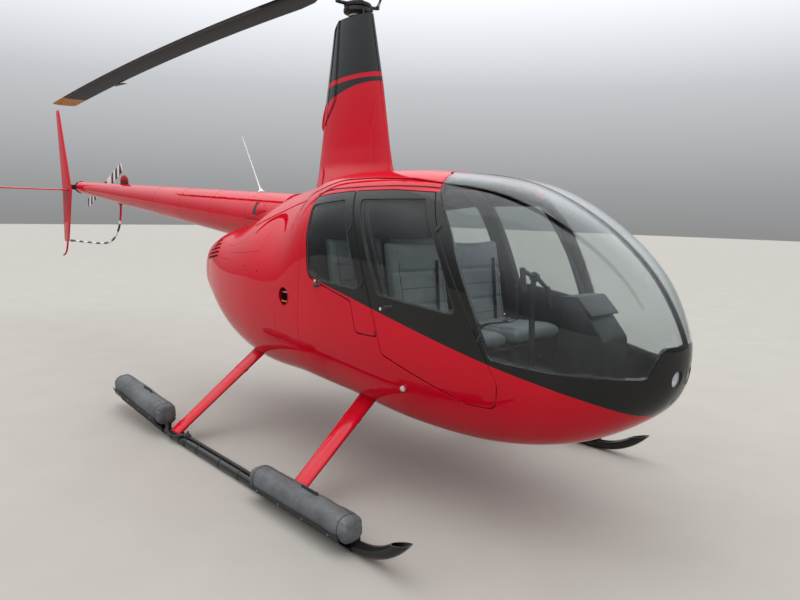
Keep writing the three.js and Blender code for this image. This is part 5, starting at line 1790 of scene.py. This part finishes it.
def seat_base():
    """The box under the cushion, its lid and the lid's handle."""
    return total([
        plate([(-520, CABIN_FLOOR), (-40, CABIN_FLOOR), (-20, 846), (-520, 846)], -SEAT_HALF,
              SEAT_HALF, "dark_trim", 8, 3),
        plate([(-516, 842), (-14, 842), (-10, 858), (-516, 858)], -SEAT_HALF + 6, SEAT_HALF - 6,
              "panel_black", 4),
        block((-36, -20), (-40, 40), (760, 782), "panel_black", 4),
    ])


def belt():
    """Lap belt over the cushion, with its buckle, and a shoulder strap down the back."""
    x, _, z = on_cushion(-240, 0) + (0, 0, 9)
    shapes = [block((x - 24, x + 24), (-34, 34), (z - 6, z + 8), "steel", 4),
              block((x - 18, x + 18), (-16, 16), (z + 6, z + 11), "panel_black", 2)]
    laps = [[on_cushion(-300 + 60 * (1 - abs(y) / 232), y) + (0, 0, 4)
             for y in np.linspace(side * 232, side * 20, 14)] for side in (-1, 1)]
    shoulder = [on_back(120 - 60 * t, 1430 - 520 * t) + (5, 0, 0) for t in np.linspace(0, 1, 22)]
    return total(shapes + [tube(line, width, "dark_canvas", 8, flat=0.09)
                           for line, width in ((laps[0], 23), (laps[1], 23), (shoulder, 22))])


seat_hard, seat_soft = seat_base() + belt(), total(seat_soft)
for name, x, y in (("front_left", 1440, 265), ("front_right", 1440, -265), ("rear_left", 880, 265),
                   ("rear_right", 880, -265)):
    piece(f"seat_{name}", seat_hard.moved(x, y))
    piece(f"seat_cushions_{name}", seat_soft.moved(x, y), smooth=60)


# Instruments and controls
def dial(place, way, radius):
    """A round instrument with ten marks and a pointer."""
    side = unit(np.cross(UP, way))
    up = np.cross(way, side)
    shapes = [
        lathe([(-3, radius + 3), (2, radius + 3), (4, radius + 1), (4, radius - 2),
               (1.2, radius - 3)], place, way, "panel_black", 32),
        lathe([(0.8, radius - 2.5), (1.6, radius - 2.8), (1.6, 0.5)], place, way, "dark_trim", 32),
        lathe([(1.8, 3), (4, 2.4), (4, 0.5)], place, way, "panel_black", 12),
    ]

    def mark(degrees, lift, start, end, width, end_width=None):
        ray = side * math.cos(math.radians(degrees)) + up * math.sin(math.radians(degrees))
        foot = place + way * lift
        return bar(foot + ray * radius * start, foot + ray * radius * end, width, "white_paint",
                   end_width, 6)

    shapes += [mark(215 - k * 28, 2.2, 0.72, 0.87, 0.9) for k in range(10)]
    return total([*shapes, mark(60 + (place[1] * 7 + place[2] * 3) % 200, 2.6, 0, 0.66, 1.3, 0.5)])


def console():
    """The pedestal with its instruments in three rows and three radios."""
    outline = rounded([(1760, CABIN_FLOOR, 0), (2060, CABIN_FLOOR, 20), (2060, 1010, 60),
                       (1900, 1200, 40), (1830, 1200, 40), (1800, 980, 60)])
    shapes = [plate(outline, -120, 120, "dark_trim", 10, 3)]
    face_low, face_high = np.array((1799.0, 0, 990)), np.array((1828.0, 0, 1178))
    up = unit(face_high - face_low)
    way = unit(np.cross(up, (0, 1, 0)))
    four = (-78, -26, 26, 78)
    for height, places, radius in ((34, four, 23), (96, four, 23), (152, (-52, 0, 52), 22)):
        shapes += [dial(face_low + up * height + (0, y, 0) + way * 2, way, radius) for y in places]
    for x, z in ((1781, 930), (1778, 880), (1772, 836)):
        shapes += [block((x - 8, x + 10), (-78, 78), (z - 18, z + 18), "panel_black", 3),
                   block((x - 9.5, x - 7), (-34, 34), (z - 8, z + 8), "dark_steel", 1)]
        shapes += [lathe([(0, 9), (12, 8), (14, 6), (14, 0.5)], (x - 8, y, z), (-1, 0, 0),
                         "dark_trim", 18) for y in (-62, 62)]
    glare_shield = rounded([(1812, 1196, 6), (1905, 1203, 10), (1990, 1118, 30), (1996, 1126, 8),
                            (1910, 1214, 14), (1806, 1205, 6)])
    return total([*shapes, plate(glare_shield, -128, 128, "dark_trim", 3)])


piece("instrument_console", console())


def cyclic():
    """The centre post and its teetering bar with a grip at each end."""
    pivot = np.array((1555.0, 0, 1272))
    post = curved([(1560, 0, 621), (1562, 0, 900), (1548, 0, 1120), (1553, 0, 1262)], 30)
    left, right = np.array((1480.0, 240, 1190)), np.array((1620.0, -200, 1330))
    shapes = [tube(post, np.linspace(19, 15, len(post)), "dark_trim", 20, soft=4),
              lathe([(-60, 40), (-40, 46), (0, 30), (30, 22)], (1560, 0, 681), UP, "rubber", 24),
              tube(curved([left, (1540, 60, 1262), (1560, 0, 1278), (1590, -100, 1300), right], 14),
                   12, "panel_black", 18, soft=4),
              lathe([(-20, 24), (-14, 27), (14, 27), (20, 24)], pivot + (4, 0, 4),
                    (0.15, -0.4, 0.1), "dark_steel", 24)]
    for top, foot in ((right + (6, -6, 12), (1648.0, -214, 1204)),
                      (left + (2, 2, 14), (1498.0, 246, 1064))):
        way = foot - top
        grip = [top + way * t for t in (0, 0.12, 0.3, 0.45, 0.6, 0.8, 0.95, 1)]
        shapes += [tube(grip, [13, 16, 14, 16.5, 15, 17, 16, 13], "rubber", 18, soft=3),
                   lathe([(0, 7), (6, 6.5), (8, 5), (8, 0.5)], top + way * 0.1 + (-10, 0, 4),
                         (-1, 0, 0.5), "red_paint", 12)]
    return total(shapes)


piece("cyclic_stick", cyclic())


def cabin_fittings():
    """Pedals, the collective lever between the front seats, floor mats and the tunnel."""
    lever = curved([(1080, 14, 640), (1180, 14, 720), (1350, 14, 870)], 24)
    shapes = [tube(lever, 9, "dark_steel", 12, soft=3),
              tube(curved([lever[-3], lever[-1]], 12), 15, "rubber", 14, soft=5),
              block((1460, 1900), (140, 400), (CABIN_FLOOR, 628), "carpet", 3).both_sides(),
              block((300, 1400), (-20, 20), (CABIN_FLOOR, 700), "dark_trim", 6)]
    for y in (-330, -200, 200, 330):
        shapes += [tube(curved([(1900, y, 626), (1915, y, 700), (1900, y, 790)], 20), 8,
                        "dark_steel", 12),
                   block((1888, 1902), (y - 36, y + 36), (756, 812), "rubber", 5)]
    return total(shapes)


piece("cabin_fittings", cabin_fittings())


# Fittings on the body's skin

def on_skin(shape, x, z, out=0.0, turn=0.0):
    """A shape drawn round the origin, its back to +z and its nose to +x, set on the port skin."""
    place, normal = skin_point(x, z, out)
    ahead = unit(np.array((1.0, 0, 0)) - normal * normal[0])
    above = np.cross(normal, ahead)
    a = math.radians(turn)
    first = ahead * math.cos(a) + above * math.sin(a)
    second = above * math.cos(a) - ahead * math.sin(a)
    points = place + shape.points @ np.array([first, second, normal])
    return Shape(points, shape.faces, shape.finishes)


def on_axis(profile, finish, sides):
    """A turned part standing on the origin, for on_skin."""
    return lathe(profile, (0, 0, 0), UP, finish, sides)


def screw(radius, finish="steel"):
    return on_axis([(-2, radius), (0.8, radius), (1.8, radius * 0.7), (1.8, 0.5)], finish, 12)


def hinge():
    return total([block((-20, 20), (-10, 10), (-4, 3), "panel_black", 2),
                  bar((-22, 0, 4), (22, 0, 4), 4.5, "panel_black", soft=2, sides=14),
                  screw(3).moved(-12, 0, 3), screw(3).moved(12, 0, 3)])


def handle():
    return total([block((-34, 34), (-11, 11), (-3, 2.5), "panel_black", 2),
                  block((-26, 30), (-6, 6), (2, 11), "panel_black", 3, 3),
                  screw(2.6).moved(-29, 0, 2), screw(2.6).moved(30, 0, 2)])


def small_light():
    """A side position light: a red fairing with a clear dome at its nose."""
    rings = []
    for t in np.linspace(0, 1, 12):
        size = math.sin(math.pi * min(t * 0.62 + 0.06, 1)) ** 0.7
        rings.append([(-22 + 34 * t, math.cos(a) * 13 * size, max(math.sin(a) * 14 * size, -3))
                      for a in circle(20)])
    nose, way = (4, 0, 5), (1, 0, 0.6)
    return total([
        loft(rings, "red_paint"),
        lathe([(0, 14), (7, 14.5), (16, 13), (23, 8), (26, 0.5)], nose, way, "lamp_lens", 24),
        lathe([(-3, 16), (2, 16), (3, 14)], nose, way, "bright_steel", 24),
        lathe([(0, 7), (12, 7), (16, 4), (16, 0.5)], nose, way, "bright_steel", 16),
    ])


def intake_cup():
    """The oval air intake: a dark cup behind the hole, with a pin across it."""
    place, normal = skin_point(*INTAKE)
    rim = np.array([skin_point(x, z)[0] for x, z in oval(INTAKE, INTAKE_RADII, 32)])
    rings = [rim - normal * depth + (place - rim) * share for depth, share in
             ((3, -0.01), (30, -0.01), (150, 0.06), (160, 0.5), (161, 0.99))]
    cup = loft(rings, "rubber", closed_ends=False)
    lip = tube(np.vstack([rim, rim[:1]]) + normal * 0.5, 2.6, "red_paint", 8, joined_ends=True)
    top, foot = skin_point(INTAKE[0], INTAKE[1] + 26)[0], skin_point(INTAKE[0], INTAKE[1] - 34)[0]
    pin = bar(top + (-34, -12, 0), top + (34, -12, 0), 3.2, "bright_steel", soft=1)
    slat = bar(foot + (-30, -10, 0), foot + (30, -10, 0), 4.5, "tan_paint", soft=1)
    return total([cup, lip, pin, slat])


def louvre_blades():
    """A sloping blade in each slot, and one dark sheet behind them all as painted shade inside the
    cowl.
    """
    shapes = []
    for (x_rear, z_rear, _), (x_front, z_front, _), *_ in LOUVRES:
        rings = []
        for x in np.linspace(x_rear + 2, x_front + 6, 8):
            z = np.interp(x, [x_rear, x_front], [z_rear, z_front])
            foot, deep = skin_point(x, z, 2.5)[0], skin_point(x, z + 11, -24)[0]
            rings.append([foot, foot + (0, 0, 2.4), deep + (0, 0, 1.2), deep - (0, 0, 1.2)])
        shapes.append(loft(rings, "red_paint"))
    # Painted shade: a near-black sheet that darkens the slots where the cowl's inside lies in
    # shade.
    sheet = []
    for x in (-1500, -1430, -1330, -1220, -1130):
        column = [skin_point(x, z, -31)[0] for z in np.linspace(1924 + x * 0.5, 1597 + x * 0.17, 4)]
        sheet.append(column + [p - (0, 4, 0) for p in column[::-1]])
    return total([*shapes, loft(sheet, "panel_black")])


def drip_rail():
    """The thin channel between the doors and the roof cowling."""
    line = [skin_point(x, z, 1.0)[0] for x, z in (
        (330, 1706), (400, 1728), (470, 1739), (700, 1749), (985, 1754), (1180, 1747),
        (1268, 1739))]
    return tube(curved(line, 20), 3.4, "rubber", 8, soft=4)


SCREWS = [(-60, 1480), (-90, 1250), (-120, 980), (-150, 760), (-560, 1380), (-900, 1330),
          (-620, 820), (-980, 860), (140, 1560), (160, 860), (120, 620), (2150, 900), (2240, 960),
          (1750, 640), (1980, 610)]
side_shapes = [
    on_skin(hinge(), 1362, 1530, turn=-62), on_skin(hinge(), 1650, 1012, turn=-62),
    on_skin(hinge(), 742, 1512, turn=-72), on_skin(hinge(), 868, 1208, turn=-68),
    on_skin(small_light(), 1157, 668, 1.0, -6),
    on_skin(block((-11, 11), (-6, 6), (-2, 5), "red_paint", 3), -520, 1215, turn=12),
    on_skin(block((-9, 9), (-5, 5), (-2, 4), "dark_trim", 2), -300, 1190, turn=10),
    intake_cup(), louvre_blades(), drip_rail(),
    *[on_skin(screw(4.2, "red_paint" if x < 1500 or z < 700 else "panel_black"), x, z)
      for x, z in SCREWS],
]
piece("body_fittings", total(side_shapes).both_sides())

lock = on_axis([(-2, 9), (1.5, 9), (2.5, 8), (2.5, 4), (1.2, 3.4), (1.2, 0.5)], "bright_steel", 24)
latch_pin = on_axis([(-2, 7), (2, 7), (3, 5), (3, 0.5)], "dark_steel", 16)
pair("handle_front_{}", [on_skin(handle(), 1077, 1104, turn=-10), on_skin(lock, 1020, 1088),
                         on_skin(latch_pin, 978, 952)], "front_{}_door")
pair("handle_rear_{}", [on_skin(handle(), 462, 1166, turn=-10), on_skin(lock, 440, 1190)],
     "rear_{}_door")


def landing_light():
    """A sealed lamp in a dark oval well: silvered bowl, flat ribbed lens turned ahead, and rim."""
    def skin_ring(share, back):
        places = [nose_place(y, z) for y, z in oval(LAMP_PLACE, np.array(LAMP_RADII) * share, 40)]
        return on_net(NET, places) - (back, 0, 0)

    rim_edge, well = skin_ring(0.985, 1.0), skin_ring(0.93, 0.0)
    middle = well.mean(axis=0)
    own = unit(np.cross(well[10] - middle, well[0] - middle))
    own = own if own[0] > 0 else -own
    facing = unit(own * 0.45 + np.array((1.0, 0, -0.05)) * 0.55)
    across = unit(np.array((0.0, 1, 0)) - facing * facing[1])
    above = np.cross(facing, across)

    def flat_ring(share, back):
        ways = oval((0, 0), np.array(LAMP_RADII) * share, 40) @ np.array([across, above])
        return middle + ways - facing * back

    rim = loft([skin_ring(0.985, 22), rim_edge, well, flat_ring(0.89, 5), flat_ring(0.87, 8),
                flat_ring(0.87, 22)], "rubber", closed_ends=False)
    front = loft([flat_ring(0.88, 12), flat_ring(0.88, 8.0), flat_ring(0.6, 5.0),
                  flat_ring(0.3, 3.6), flat_ring(0.02, 3.2)], "lamp_lens")
    bowl = loft([flat_ring(0.86, 34), flat_ring(0.87, 16), flat_ring(0.86, 13), flat_ring(0.6, 24),
                 flat_ring(0.3, 34), flat_ring(0.08, 38)], "bright_steel")
    bulb = lathe([(-30, 9), (-14, 9), (-9, 7), (-6, 0.5)], middle, facing, "bright_steel", 20)
    return total([rim, front, bowl, bulb])


pair("landing_light_{}", landing_light())

# The CAD's own solids that stay get their finish here
for name, finish in dict(cabin_floor="carpet", firewall="cabin_lining", engine_block="dark_steel",
                         exhaust_pipe="exhaust_steel").items():
    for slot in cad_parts[name].material_slots:
        slot.material = FINISHES[finish]


# Floor, light and background

def studio():
    """A pale floor, a backdrop that darkens towards the horizon and a large soft lamp overhead."""
    floor_finish = Finish("pale_floor")
    shade = floor_finish.mix(floor_finish.noise(2.0, 6.0, 0.6), (0.285, 0.268, 0.243, 1),
                             (0.335, 0.316, 0.288, 1))
    grain = floor_finish.bump(floor_finish.noise(160.0, 3.0, 0.7), 0.001, 0.3)
    mesh = bpy.data.meshes.new("floor")
    mesh.from_pydata([(-60, -60, 0), (60, -60, 0), (60, 60, 0), (-60, 60, 0)], [], [(0, 1, 2, 3)])
    mesh.materials.append(floor_finish.close(floor_finish.surface(shade, 0.8, grain)))
    added("floor", mesh)

    backdrop = Finish("studio", bpy.data.worlds, "Generated")
    stops = [(0.0, (0.11, 0.108, 0.105, 1)), (0.49, (0.13, 0.13, 0.13, 1)),
             (0.52, (0.16, 0.163, 0.168, 1)), (0.59, (0.27, 0.278, 0.29, 1)),
             (0.70, (0.64, 0.655, 0.68, 1)), (0.80, (0.95, 0.96, 0.98, 1)),
             (1.0, (1.08, 1.08, 1.08, 1))]
    light = backdrop.node("ValToRGB", dict(stops=stops), dict(Fac=backdrop.axis("Z") * 0.5 + 0.5))
    bpy.context.scene.world = backdrop.close(
        backdrop.node("Background", None, dict(Color=light, Strength=2.1)), "World")

    key = added("key_light", bpy.data.lights.new("key_light", "AREA"))
    key.data.shape, key.data.energy = "RECTANGLE", 240.0
    key.data.size, key.data.size_y = 12.0, 8.0
    place, aim = Vector((0.6, -1.2, 13.0)), Vector((-0.5, -0.2, 0.0))
    turn = (place - aim).to_track_quat("Z", "Y").to_matrix().to_4x4()
    key.matrix_world = Matrix.Translation(place) @ turn


studio()
bpy.context.scene.view_settings.view_transform = "Standard"
